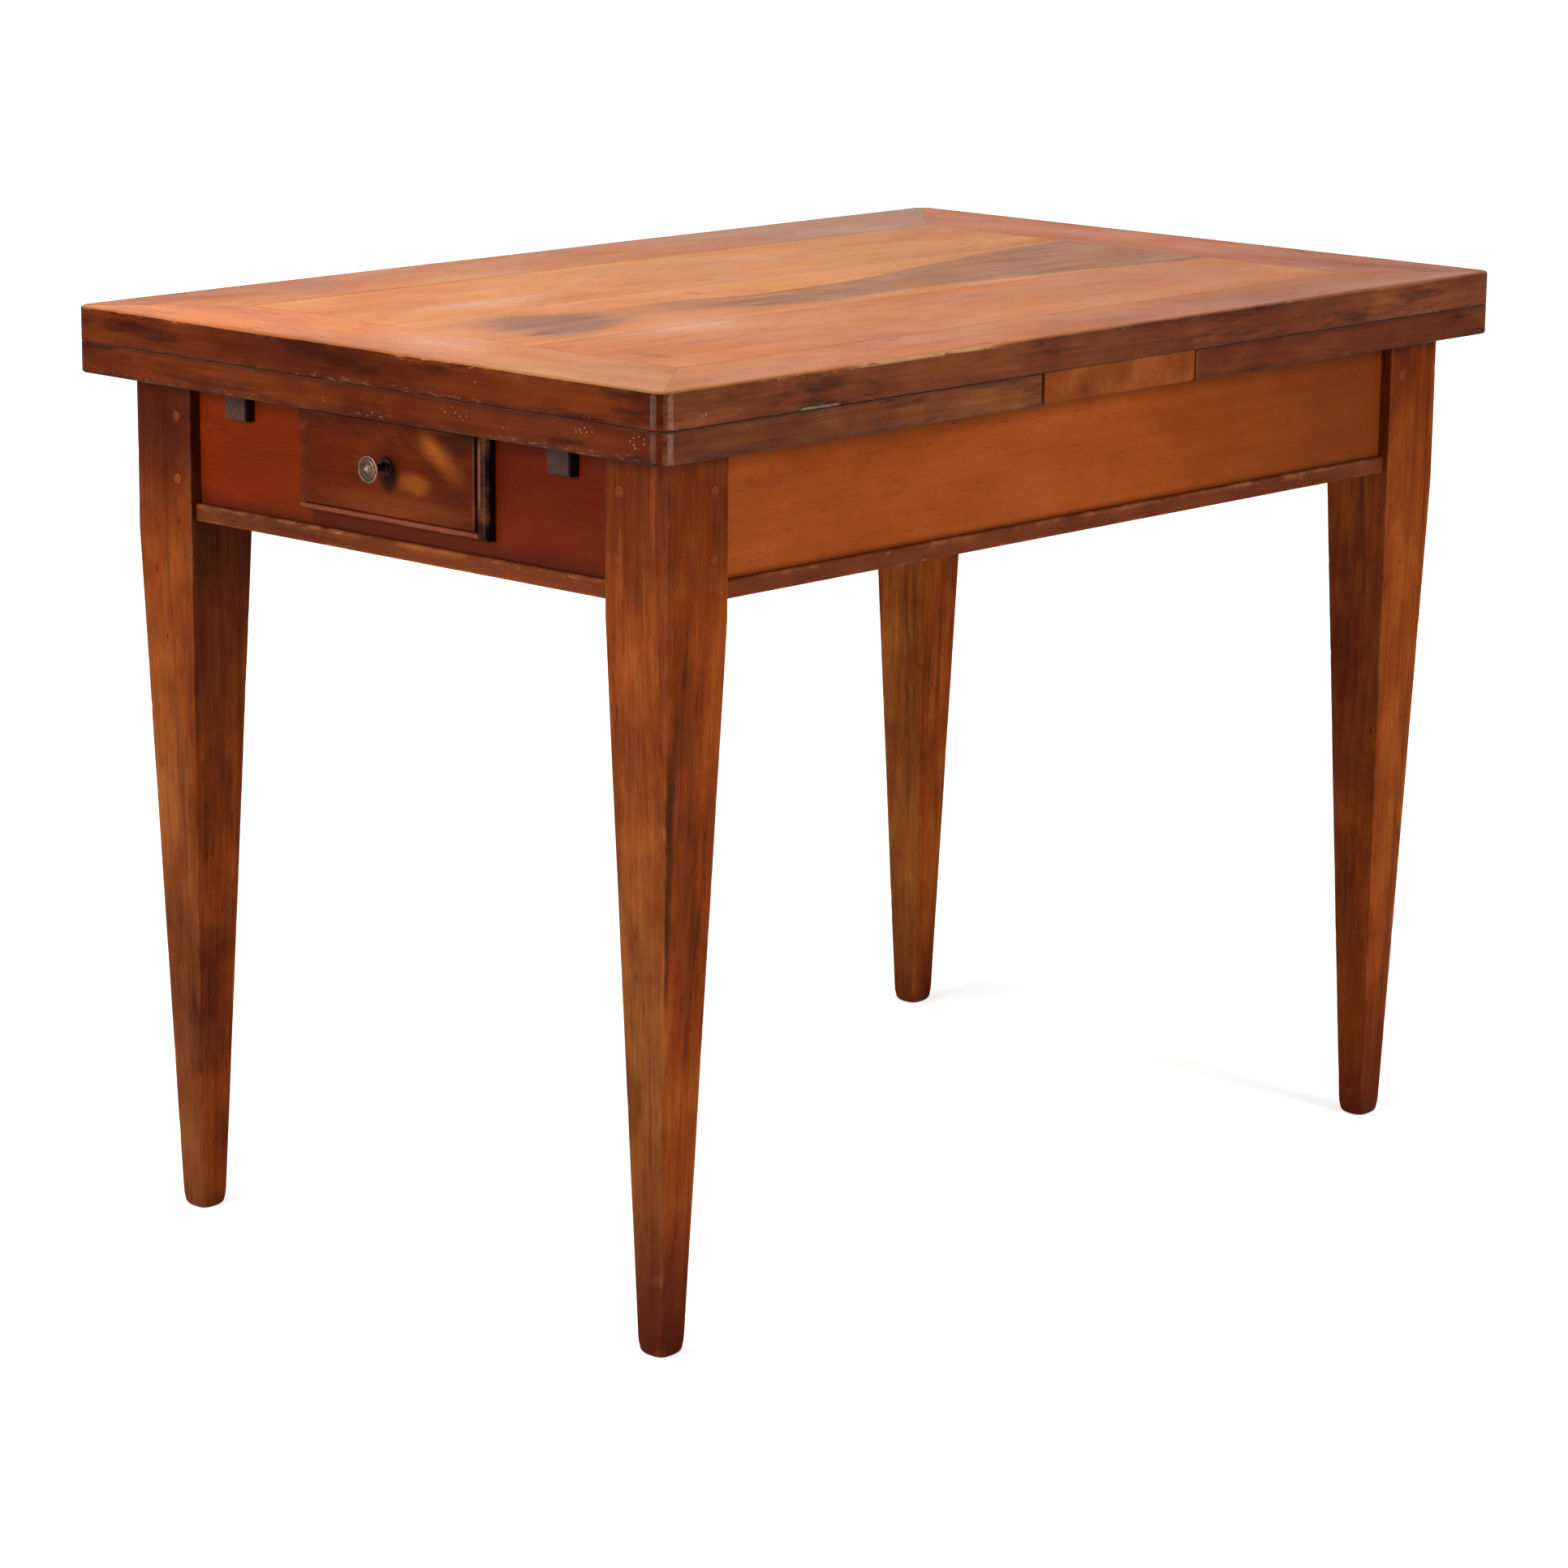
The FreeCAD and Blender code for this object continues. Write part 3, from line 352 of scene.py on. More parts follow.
def wood_material(node, slot, seed):
    """A polished, much used board, with the marks that only it shows."""
    figure = FIGURE[slot]
    material, w, shader = surface("timber_" + node, linear(*COLOURS[slot][1]), Wood, node, seed)
    pith = (((seed * 0.37) % 1 - 0.5) * 0.5, 0.25 + (seed * 0.61) % 1 * 0.3)
    rings = w.rings(pith, figure.spacing * MM)
    fibres = w.fibres()
    pores = w.pores(figure.pores)
    tone = w.add(w.swing(fibres, figure.fibre), w.swing(w.grain(4.5, 13, 3, 0.55), 2.4 * figure.clouds),
                 w.swing(w.cloud, 0.9 * figure.clouds),
                 w.swing(w.grain(24, 42, 3, 0.6), 0.9 * figure.clouds), 0.5 + 0.3 * figure.rings)
    tone = w.less(tone, w.times(rings, figure.rings))
    if slot in UPPER:
        upper_colours, *turn = UPPER[slot]
        w.upper = w.step(w.facing_up, *turn)
        face = shade(w, tone, COLOURS[upper_colours], TINT.get(node, PLAIN))
        if node in ALONG_TINT:
            (start, end), first, last = ALONG_TINT[node]
            face = w.dye(face, w.mix(w.step(w.along, start * MM, end * MM), first, last))
        w.colour = w.mix(w.upper, shade(w, tone, COLOURS["edge_wood"], EDGE_TINT.get(node, PLAIN)), face)
    else:
        w.colour = shade(w, tone, COLOURS[slot], TINT.get(node, PLAIN))
    for marks in MARKS.get(node, SLOT_MARKS.get(slot, ())):
        marks(w)
    w.colour = w.mix(w.times(pores, 0.5), w.colour, w.dye(w.colour, linear(*PORE_TINT)))
    w.stain(SOOT_AND_SHADE, w.flecks(150, 340, 0.7), 0.6 * figure.dirt)

    wear = w.attribute("wear")
    rub = w.grain(24, 60, 4, 0.65)
    worn = w.times(wear, w.step(rub, 0.44, 0.7))
    w.stain(WORN, worn, 0.4)
    if figure.chips:
        chips = w.times(wear, w.flecks(120, 520, 0.6, 0.5))
        chips = w.math("MAXIMUM", chips, w.times(w.flecks(230, 520, 0.735, 0.55), 0.5))
        w.stain(CHIPPED, chips, figure.chips)
    soil = w.times(w.attribute("grime"), w.step(rub, 0.25, 0.7, 1, 0.6))
    w.stain(SOOT_AND_SHADE, soil, 0.85)

    handled = w.grain(9, 20, 3, 0.6)
    roughness = w.add(w.line(handled, 0.3, 0.7, figure.matt - 0.07, figure.matt + 0.08),
                      w.times(pores, 0.12), w.times(worn, -0.05), w.times(soil, 0.15))
    sheen = SHEEN.get(slot, OTHER_SHEEN)
    if slot in UPPER:
        roughness = w.less(roughness, w.line(w.upper, 0, 1, EDGE_GLOSS, 0))
        sheen = w.line(w.upper, 0, 1, EDGE_SHEEN.get(node, OTHER_EDGE_SHEEN), sheen)
        w.put(shader.inputs["Specular Tint"], w.mix(w.upper, WARM_SHEEN, PLAIN))
    w.fill(shader, {"Base Color": w.colour, "Roughness": roughness, "Specular IOR Level": sheen})
    height = w.add(w.times(fibres, 0.5), w.times(pores, -0.9), w.times(w.cloud, 0.6), w.times(rings, -0.25))
    w.relief(shader, height, 0.35, 0.3 * MM)
    return material


# Marks on the loose top, in millimetres from the table's centre: x, y, half length, half width, strength
# The pale patches are partly bleached finish and partly a painted sheen
HAZE_AND_SHEEN = [(-272, 111, 62, 15, 0.42), (-250, -95, 52, 20, 0.36), (-450, -7, 30, 52, 0.28),
        (-205, -78, 50, 18, 0.2), (-470, -55, 22, 40, 0.18)]
BRUISES = [(-357, -47, 7, 6, 0.55), (-275, -32, 6, 4, 0.4), (-187, -258, 7, 4, 0.6), (-147, -320, 9, 4, 0.5),
           (-300, -163, 34, 5, 0.3), (-383, -186, 6, 18, 0.35), (-60, -110, 26, 4, 0.3),
           (60, -130, 14, 8, 0.28), (-200, -160, 40, 5, 0.2), (-30, 92, 10, 4, 0.35),
           (-100, 40, 5, 9, 0.35), (210, -282, 60, 5, 0.22)]
# The dark heart of the middle boards: (share of the panel's length, y in millimetres) of its two sides
HEART_UPPER = [(0, 20), (0.055, 36), (0.11, 40), (0.2, 22), (0.315, 14), (0.37, 5), (0.41, -4),
               (0.49, -2), (0.6, 6), (0.73, 30), (0.91, 58), (1, 70)]
HEART_LOWER = [(0, -72), (0.055, -82), (0.11, -70), (0.2, -45), (0.25, -38), (0.315, -39), (0.37, -55),
               (0.41, -65), (0.6, -67), (0.73, -78), (0.91, -94), (1, -110)]
HEART_CORES = [(-360, -50, 20, 5, 0.6), (-350, -12, 34, 9, 0.3), (-286, -10, 34, 7, 0.25),
               (-90, -28, 44, 7, 0.5), (-84, -46, 34, 5, 0.35), (-30, -38, 40, 5, 0.25)]
HEART_RANGE = 120
SEAM_SHADE = 0.2


def dab(w, paint, marks, soft):
    for *place, strength in marks:
        w.stain(paint, w.blob(*place, soft, 0.9), strength)


def heart_line(w, share, points):
    """One side of the heart, with a wobble."""
    level = w.curve(share, [(x, (y + HEART_RANGE) / (2 * HEART_RANGE)) for x, y in points])
    return w.add(w.swing(level, 2 * HEART_RANGE * MM), w.swing(w.grain(12, 60, 3), 6 * MM))


def heartwood(w, low, high):
    share = w.line(w.x, low.x, high.x)
    upper = heart_line(w, share, HEART_UPPER)
    lower = heart_line(w, share, HEART_LOWER)
    soft = w.line(share, 0.2, 0.62, 17 * MM, 3.5 * MM)
    above = w.math("DIVIDE", w.less(upper, w.y), soft)
    below = w.math("DIVIDE", w.less(w.y, lower), soft)
    inside = w.times(w.step(above, -1, 1), w.step(below, -1, 1), w.step(share, 0.02, 0.12))
    streaks = w.line(w.grain(5, 120, 4, 0.7), 0.36, 0.62, 0.3, 1)
    dapple = w.line(w.cloud, 0.35, 0.65, 0.6, 1)
    dapple = w.times(dapple, w.less(1, w.times(w.near(share, 0.25, 0.015, 0.075), 0.45)))
    heart = w.mix(streaks, linear(186, 116, 72), linear(120, 72, 48))
    w.colour = w.mix(w.times(inside, dapple, 0.88), w.colour, heart)
    w.stain((128, 86, 70), inside, w.fall(share, 0.14, 0.24), 0.45)
    dab(w, (84, 46, 34), HEART_CORES, 0.6)
    w.stain((80, 42, 28), w.near(w.y, upper, 0.6 * MM, 3.5 * MM), w.step(share, 0.3, 0.36),
            w.step(share, 0.5, 0.95, 1, 0.2), 0.5)


def top_marks(w):
    """What the loose top shows: pale haze, partly bleached finish and partly painted sheen, bruises and,
    over the panel, the dark heartwood.
    """
    before = w.colour
    panel = w.name.startswith("top_board")
    if panel:
        low, high = span("top_board_1")[0], span("top_board_3")[1]
        heartwood(w, low, high)
        for node in ("top_board_2", "top_board_3"):
            w.stain(SOOT_AND_SHADE, w.near(w.y, span(node)[0].y, 0.3 * MM, 1.4 * MM), SEAM_SHADE)
        rim_x = w.math("MINIMUM", w.less(w.x, low.x), w.less(high.x, w.x))
        rim_y = w.math("MINIMUM", w.less(w.y, low.y), w.less(high.y, w.y))
        depth = w.less(w.math("MINIMUM", rim_x, rim_y), 7 * MM)
        w.stain(SOOT_AND_SHADE, w.fall(depth, 0.2 * MM, 1.8 * MM), SEAM_SHADE)
    dab(w, (226, 176, 150), HAZE_AND_SHEEN, 0.8)
    dab(w, (110, 58, 36), BRUISES, 0.5)
    w.stain((96, 46, 26), w.patches(34, 380, 2, 0.5, 0.66, 0.72),
            w.patches(8, 12, 2, 0.5, 0.5, 0.62), 0.5)
    if not panel:
        w.colour = w.mix(w.upper, before, w.colour)


# Clusters of white flecks on the table's edges: (place along the edge, height, half length, half height)
FLECKS = {
    "left_leaf_left_border": [(-26, 710, 24, 3), (-115, 722, 18, 5), (-304, 721, 12, 8), (31, 717, 6, 3),
                              (-166, 718, 8, 3), (-250, 724, 12, 4)],
    "top_left_border": [(-251, 735, 10, 2), (-140, 748, 6, 3)],
    "top_front_border": [(-473, 740, 5, 2)],
    "right_leaf_front_border": [(106, 729, 5, 3)],
}


def edge_marks(w):
    """Smoky patches and clusters of white flecks on the upright edge of a border board."""
    upright = w.less(1, w.upper)
    w.stain((38, 13, 6), w.patches(8, 50, 4, 0.65, 0.48, 0.66), upright, 0.7)
    nicks = w.fill(w.node("TexVoronoi"), {"Vector": w.stretched(560, 330), "Scale": 1})
    drawn = w.separate(nicks.outputs["Color"])
    fine = w.times(w.fall(nicks.outputs["Distance"], 0.14, 0.34), w.step(drawn[0], 0.52, 0.58),
                   w.line(drawn[1], 0, 1, 0.2, 1))
    for cluster in FLECKS.get(w.name, ()):
        area = w.fall(w.oval(w.along, w.z, *mm(*cluster)), 0.3, 1.3)
        w.stain(CHIPPED, area, fine, upright, 0.85)


def front_border_marks(w):
    """A redder far half, a pink scar, a stretch of rubbed arris and a pale sliver under the edge."""
    low, high = span("top_front_border")
    w.stain((156, 80, 34), w.step(w.x, 60 * MM, 260 * MM), w.upper, 0.5)
    w.stain((244, 178, 150), w.blob(264, -227, 14, 2.6, 0.4, 0.5), w.upper, 0.7)
    w.stain((232, 176, 116), w.step(w.z, high.z - 3.2 * MM, high.z - 1.6 * MM),
            w.patches(30, 160, 3, 0.6, 0.38, 0.5), w.fall(w.y, low.y + 2.4 * MM, low.y + 4 * MM),
            w.near(w.x, *mm(-229, 64, 88)), 0.8)
    w.stain((236, 206, 184), w.near(w.x, *mm(-348, 17, 24)),
            w.fall(w.z, low.z + 1.5 * MM, low.z + 2.6 * MM), 0.85)


def back_border_marks(w):
    w.stain((184, 136, 112), w.step(w.x, 20 * MM, 330 * MM), w.upper, 0.5)


# Each leg: how much painted shade falls on its head under the top, how dark its foot and how grey the lower
# part of the side facing the end, and the share of its colour that this side keeps under painted shade
LEG_SHADE_AND_TONE = {"leg_left_back": (0.85, 0.3, 0.7, 0.88), "leg_left_front": (0.4, 0.95, 1, 0.9),
             "leg_right_front": (0.25, 0.75, 0, 0.8), "leg_right_back": (0.25, 0.5, 0.8, 0.84)}
GREYER = (0.8, 1.12, 1.75)


def leg_marks(w):
    """Dark streaks down the grain, smoky patches, painted shade on the head under the top and a darker foot.
    """
    head_shade, foot_smoke, greyness, shaded_share = LEG_SHADE_AND_TONE[w.name]
    # Painted shade on the side facing the end
    w.colour = w.mix(w.facing_end, w.colour, w.dye(w.colour, (shaded_share, shaded_share, shaded_share)))
    if greyness:
        grey = w.times(w.step(w.z, 200 * MM, 560 * MM, 1, 0.2), w.facing_end, greyness)
        w.colour = w.mix(grey, w.colour, w.dye(w.colour, GREYER))
    w.stain((70, 27, 11), w.patches(1.6, 95, 3, 0.6, 0.54, 0.72), 0.6)
    w.stain((78, 40, 24), w.patches(7, 26, 4, 0.65, 0.55, 0.72), 0.28)
    w.stain((172, 98, 52), w.patches(5, 20, 3, 0.6, 0.58, 0.75), 0.2)
    w.stain((78, 22, 4), w.fall(w.z, 15 * MM, 170 * MM), foot_smoke)
    # Painted shade on the head, under the top
    w.stain((62, 20, 8), w.step(w.z, 560 * MM, 670 * MM), head_shade)
    # The back leg's side facing the front gets painted shade under the end apron
    if w.name == "leg_left_back":
        w.stain((46, 16, 8), w.step(w.z, 400 * MM, 580 * MM), w.facing_front, 0.6)
    if w.name == "leg_left_front":
        ridges = w.grain(7, 130, 4, 0.65)
        rough = w.times(w.facing_end, w.step(w.z, 330 * MM, 520 * MM))
        w.stain((160, 74, 38), rough, w.step(ridges, 0.54, 0.7), 0.35)
        w.stain((62, 24, 10), rough, w.fall(ridges, 0.32, 0.46), 0.6)
        across, up = w.near(w.x, *mm(-473, 2.5, 9)), w.near(w.z, *mm(380, 70, 110))
        w.stain((52, 20, 8), across, up, w.facing_front, 0.8)
    w.stain((48, 20, 10), w.patches(60, 220, 2, 0.5, 0.7, 0.76), 0.6)


def side_apron_marks(w):
    """A dark band along the strip, painted shade under the top, painted shade darkening the far end, and
    smears.
    """
    strip_top, top = span("front_strip")[1].z, span("front_side_apron")[1].z
    w.stain((70, 28, 10), w.fall(w.z, strip_top, strip_top + 5 * MM), 0.55)
    # Painted shade under the top
    w.stain((96, 42, 14), w.step(w.z, top - 16 * MM, top), 0.25)
    # Painted shade, darker towards the far end
    w.stain((100, 42, 13), w.step(w.x, 60 * MM, 430 * MM), 0.75)
    w.stain((112, 50, 16), w.patches(9, 15, 4, 0.65, 0.54, 0.7), 0.25)


def end_board_marks(w):
    strip_top = span("left_strip")[1].z
    w.stain((62, 22, 8), w.fall(w.z, strip_top, strip_top + 20 * MM), 0.55)


def end_strip_marks(w):
    """Darker towards the back, below the drawer."""
    w.stain((48, 24, 12), w.step(w.y, -20 * MM, 140 * MM), 0.45)


def lower_rail_marks(w):
    w.stain((66, 24, 12), 0.7)


def bearer_painted_shade(w):
    """Painted shade: the side facing the front, which gets little light, is painted dark."""
    w.stain(SOOT_AND_SHADE, w.facing_front, 0.9)


# Soft marks on the drawer's field: (y, z, half width, half height, strength, colour), in millimetres; the
# last is a painted shadow cast by the knob
DRAWER_SOFT = [(-28, 652.5, 15, 8, 0.55, (152, 82, 26)), (-80, 690, 26, 9, 0.5, (46, 18, 10)),
               (55, 692, 40, 9, 0.35, (58, 22, 12)), (-22, 645, 7, 3, 0.5, (88, 28, 8)),
               (-10, 634, 70, 7, 0.3, (134, 70, 36)), (0, 656.5, 9.5, 12, 0.85, (24, 8, 4))]
# Where the pale flare starts and ends: (y, z) in millimetres
FLARE_START = (-39.6, 687.5)
FLARE_END = (-85.2, 661.1)


def drawer_marks(w):
    """Walnut with a pale flare over the right half, painted shade along the lip's right edge and on its side
    facing the front, a painted highlight on the right bead, a paler bottom bead and a painted shadow of the
    knob.
    """
    low = span("drawer_front")[0]
    run = math.dist(FLARE_START, FLARE_END)
    step_y, step_z = ((end - start) / run for start, end in zip(FLARE_START, FLARE_END))
    y, z = w.less(w.y, FLARE_START[0] * MM), w.less(w.z, FLARE_START[1] * MM)
    down = w.add(w.times(y, step_y), w.times(z, step_z))
    across = w.add(w.times(y, -step_z), w.times(z, step_y), w.swing(w.grain(16, 30, 3), 14 * MM))
    w.stain((168, 90, 36), w.fall(w.math("ABSOLUTE", across), MM, 13 * MM), w.step(down, -14 * MM, 12 * MM),
            w.fall(down, 14 * MM, 62 * MM), w.line(w.cloud, 0.3, 0.6, 0.55, 1), 0.72)
    veins = w.noise(w.combine(w.times(across, 9), w.times(down, 1.2), 0), 14, 3, 0.6)
    w.stain((60, 22, 6), w.step(veins, 0.5, 0.7), 0.3)
    for *place, strength, paint in DRAWER_SOFT:
        w.stain(paint, w.blob(*place, 0.55, 0.3, True), strength)
    # Painted shade along the lip's right edge, which turns away from the light
    rim = w.fall(w.y, low.y + 9.5 * MM, low.y + 11 * MM)
    w.stain((34, 11, 7), rim, 0.85)
    # A painted highlight on the right bead
    bead_highlight = w.near(w.y, low.y + 8 * MM, 0.5 * MM, 2.2 * MM)
    w.stain((150, 96, 76), bead_highlight, w.near(w.z, *mm(668, 16, 34)), 0.5)
    w.stain((150, 80, 56), w.near(w.z, low.z + 3.4 * MM, MM, 2.8 * MM), w.less(1, rim), 0.45)
    # Painted shade on the lip's side facing the front, which the light doesn't reach
    w.stain((12, 4, 3), w.facing_front, 0.95)


def knob_material():
    """Tarnished brown metal, rubbed bright on its raised rings, with tarnish and painted shade on its flange
    and a painted shadow under its boss.
    """
    material, g, shader = surface("aged_brass", linear(110, 92, 76))
    place = g.place()
    x, y, z = g.separate(place)
    cloud = g.noise(place, 420, 4, 0.65)
    pit = g.noise(place, 1500, 3, 0.6)
    bright = g.times(g.attribute("wear"), g.step(pit, 0.35, 0.65, 0.1, 0.62))
    colour = g.mix(g.step(cloud, 0.35, 0.65), linear(48, 33, 24), linear(100, 76, 58))
    colour = g.paint(colour, (188, 160, 140), bright)
    face = span("drawer_front")[0].x
    # Tarnish and painted shade on the flange, which lies in the shade of the knob's head
    colour = g.paint(colour, (26, 16, 12), g.step(x, face - 8 * MM, face - 4 * MM), 0.8)
    low, high = span("drawer_knob")
    boss_y, boss_z = (low.y + high.y) / 2, (low.z + high.z) / 2
    # A painted shadow of the boss, cast on the disc below and beside it
    under = g.oval(y, z, boss_y + 1.2 * MM, boss_z - 2.7 * MM, 2.6 * MM, 1.9 * MM)
    colour = g.paint(colour, (24, 16, 10), g.fall(under, 0.4, 1.4), 0.65)
    roughness = g.add(g.line(cloud, 0.3, 0.7, 0.5, 0.36), g.times(bright, -0.1))
    g.fill(shader, {"Base Color": colour, "Metallic": 1, "Roughness": roughness})
    g.relief(shader, pit, 0.3, 0.1 * MM)
    return material


def screw_material():
    material, g, shader = surface("steel_screws", linear(90, 85, 80))
    spots = g.noise(g.place(), 700, 4, 0.6)
    colour = g.mix(g.step(spots, 0.5, 0.68), linear(118, 112, 104), linear(78, 50, 34))
    g.fill(shader, {"Base Color": colour, "Metallic": 1, "Roughness": g.line(spots, 0.3, 0.7, 0.32, 0.6)})
    return material


SLOTS = {part["node"]: part["material_slot"] for part in frame["record"]["subparts"]}
MARKS = {
    "top_board_1": (top_marks,), "top_board_2": (top_marks,), "top_board_3": (top_marks,),
    "top_front_border": (top_marks, front_border_marks, edge_marks),
    "top_back_border": (top_marks, back_border_marks), "top_left_border": (top_marks, edge_marks),
    "top_right_border": (top_marks,), "left_leaf_left_border": (edge_marks,),
    "left_leaf_front_border": (edge_marks,), "right_leaf_front_border": (edge_marks,),
    "drawer_lower_rail": (lower_rail_marks,), "drawer_front": (drawer_marks,),
    "left_strip": (end_strip_marks,), "right_end_apron": (end_board_marks,),
    "left_end_board_front": (end_board_marks,), "left_end_board_back": (end_board_marks,),
}
SLOT_MARKS = {
    "leg_wood": (leg_marks,), "bearer_wood": (bearer_painted_shade,), "side_apron_wood": (side_apron_marks,),
}


def grain_of(node):
    """The grain runs along a board's longest side, except in the centre board, and along X in the pegs."""
    if node in ("joint_pegs", "centre_board"):
        return "x" if node == "joint_pegs" else "y"
    low, high = span(node)
    return "xyz"[max(range(3), key=lambda axis: high[axis] - low[axis])]


def make_timbers():
    metals = {"aged_brass": knob_material(), "steel_screws": screw_material()}
    return {node: metals.get(SLOTS[node]) or wood_material(node, SLOTS[node], seed)
            for seed, node in enumerate(sorted(frame["nodes"]), 1)}


def dress(node, material):
    """The CAD node keeps its shape and gets this material."""
    materials = frame["nodes"][node].data.materials
    if not materials:
        materials.append(material)
    for index in range(len(materials)):
        materials[index] = material


# Meshes

def add_object(name, data):
    made = bpy.data.objects.new(name, data)
    bpy.context.scene.collection.objects.link(made)
    return made


class Shell:
    """A mesh being listed: its points with their wear and grime, and its faces."""

    def __init__(self):
        self.points, self.wear, self.grime, self.faces = [], [], [], []

    def add(self, point, wear=0, grime=0):
        self.points.append(tuple(point))
        self.wear.append(wear)
        self.grime.append(grime)

    def band(self, rings, around, start=0):
        """Quads between neighbouring rings of points."""
        for low in range(start, start + (rings - 1) * around, around):
            for a in range(around):
                b = (a + 1) % around
                self.faces.append((low + a, low + b, low + around + b, low + around + a))

    def sweep(self, rings, around, start=0):
        """A band with one face at each end."""
        self.band(rings, around, start)
        self.faces.append(tuple(reversed(range(start, start + around))))
        self.faces.append(tuple(range(start + (rings - 1) * around, start + rings * around)))

    def stand_for(self, node, body, name=None, sharp=40):
        """The finished piece, in the place of one CAD node: on that node's body, in its timber."""
        name = name or "worn_" + node
        mesh = bpy.data.meshes.new(name)
        mesh.from_pydata(self.points, [], self.faces)
        mesh.validate()
        for key, values in (("wear", self.wear), ("grime", self.grime)):
            if any(values):
                mesh.attributes.new(key, "FLOAT", "POINT").data.foreach_set("value", values)
        for polygon in mesh.polygons:
            polygon.use_smooth = True
        mesh.set_sharp_from_angle(angle=math.radians(sharp))
        mesh.materials.append(TIMBER[node])
        piece = add_object(name, mesh)
        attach(piece, body)
        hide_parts(node)
        return piece


def ripple(place, size, seed):
    """Smooth noise from -1 to 1 at a place in metres, with features of about that size."""
    return noise.noise(Vector(place) / size + Vector((seed * 1.7, seed * 0.9, seed * 2.3)))


def arc(centre, radius, start, end, count):
    """Points on an arc from one angle to another, in degrees, both ends included."""
    angles = [math.radians(start + (end - start) * step / count) for step in range(count + 1)]
    return [(centre[0] + radius * math.cos(a), centre[1] + radius * math.sin(a)) for a in angles]


# Worn boards

SEAM_HALF, SEAM_DEPTH, MITRE_DEPTH = mm(0.45, 0.6, 0.2)
STATION_SPACING, LEAST_ARRIS, HAIR = mm(5.5, 0.4, 0.01)
TOP_CORNER, LEAF_INNER_CORNER = mm(13, 3)
# How a board is worn: the radius of its upper and under arrises, how deeply it is nicked, and how far its
# upper arris is rubbed, from 0, dark with dirt, to 1, worn pale
Wear = namedtuple("Wear", "top under chips rubbed")
TOP_WEAR = Wear(2.6 * MM, MM, 1, 0.5)
LEAF_WEAR = Wear(0.9 * MM, 1.9 * MM, 0.8, 0.1)


class Edge:
    """The outer edge of a border board in plan: s runs along it and d is the depth from its line."""

    def __init__(self, length, width, start_reach, end_reach, start_round, end_round):
        self.width = width
        self.inner = (start_reach, length - end_reach)
        self.first = self.corner(start_reach, start_round)
        self.last = [(length - s, d) for s, d in self.corner(end_reach, end_round)]

    def corner(self, reach, radius):
        """The rounded corner, from the board's end to the straight edge. With no reach the end is square."""
        from_angle = 180
        if reach:
            diagonal = math.hypot(reach, self.width)
            spread = (reach + self.width) / diagonal
            touch = radius * (spread - math.sqrt(spread * spread - 1))
            s, d = touch * reach / diagonal, touch * self.width / diagonal
            from_angle = math.degrees(math.atan2(d - radius, s - radius)) % 360
        return arc((radius, radius), radius, from_angle, 270, 7)

    def stations(self):
        """Places along the outer edge, each with its share of the way, closer together at both ends."""
        start = self.first[-1][0]
        run = self.last[-1][0] - start
        count = max(4, int(run / STATION_SPACING))
        middle = [(start + run * step / count, 0) for step in range(1, count)]
        places = self.first + middle + self.last[::-1]
        walked = [0]
        for a, b in zip(places, places[1:]):
            walked.append(walked[-1] + math.dist(a, b))
        return [(place, way / walked[-1]) for place, way in zip(places, walked)]


def border_section(width, low, high, top_arris, under_arris, rubbed):
    """(depth, height, wear, grime) round a border board, from its inner top edge round the outside."""
    dirt = 0.9 * (1 - rubbed)
    return [
        (width, high - SEAM_DEPTH, 0, 0.6),
        (width - SEAM_HALF, high, 0, 0.3),
        (width - 3 * MM, high, 0, 0),
        *((width * share, high, 0, 0) for share in (0.75, 0.5, 0.25)),
        (top_arris + 5 * MM, high, 0, 0),
        (top_arris + 1.6 * MM, high, 0.35 * rubbed, dirt),
        *((d, z, rubbed, dirt) for d, z in arc((top_arris, high - top_arris), top_arris, 90, 180, 6)),
        (0, high - top_arris - 1.2 * MM, 0.3 * rubbed, 0.3 * dirt),
        (0, high - top_arris - 4 * MM, 0, 0),
        (0, low + under_arris + 5 * MM, 0, 0),
        (0, low + under_arris + 1.2 * MM, 0.2, 0.25),
        *((d, z, 0.3, 0.6) for d, z in arc((under_arris, low + under_arris), under_arris, 180, 270, 4)),
        (under_arris + 3 * MM, low, 0, 0.5),
        (width / 2, low, 0, 0.3),
        (width, low, 0, 0.3)]


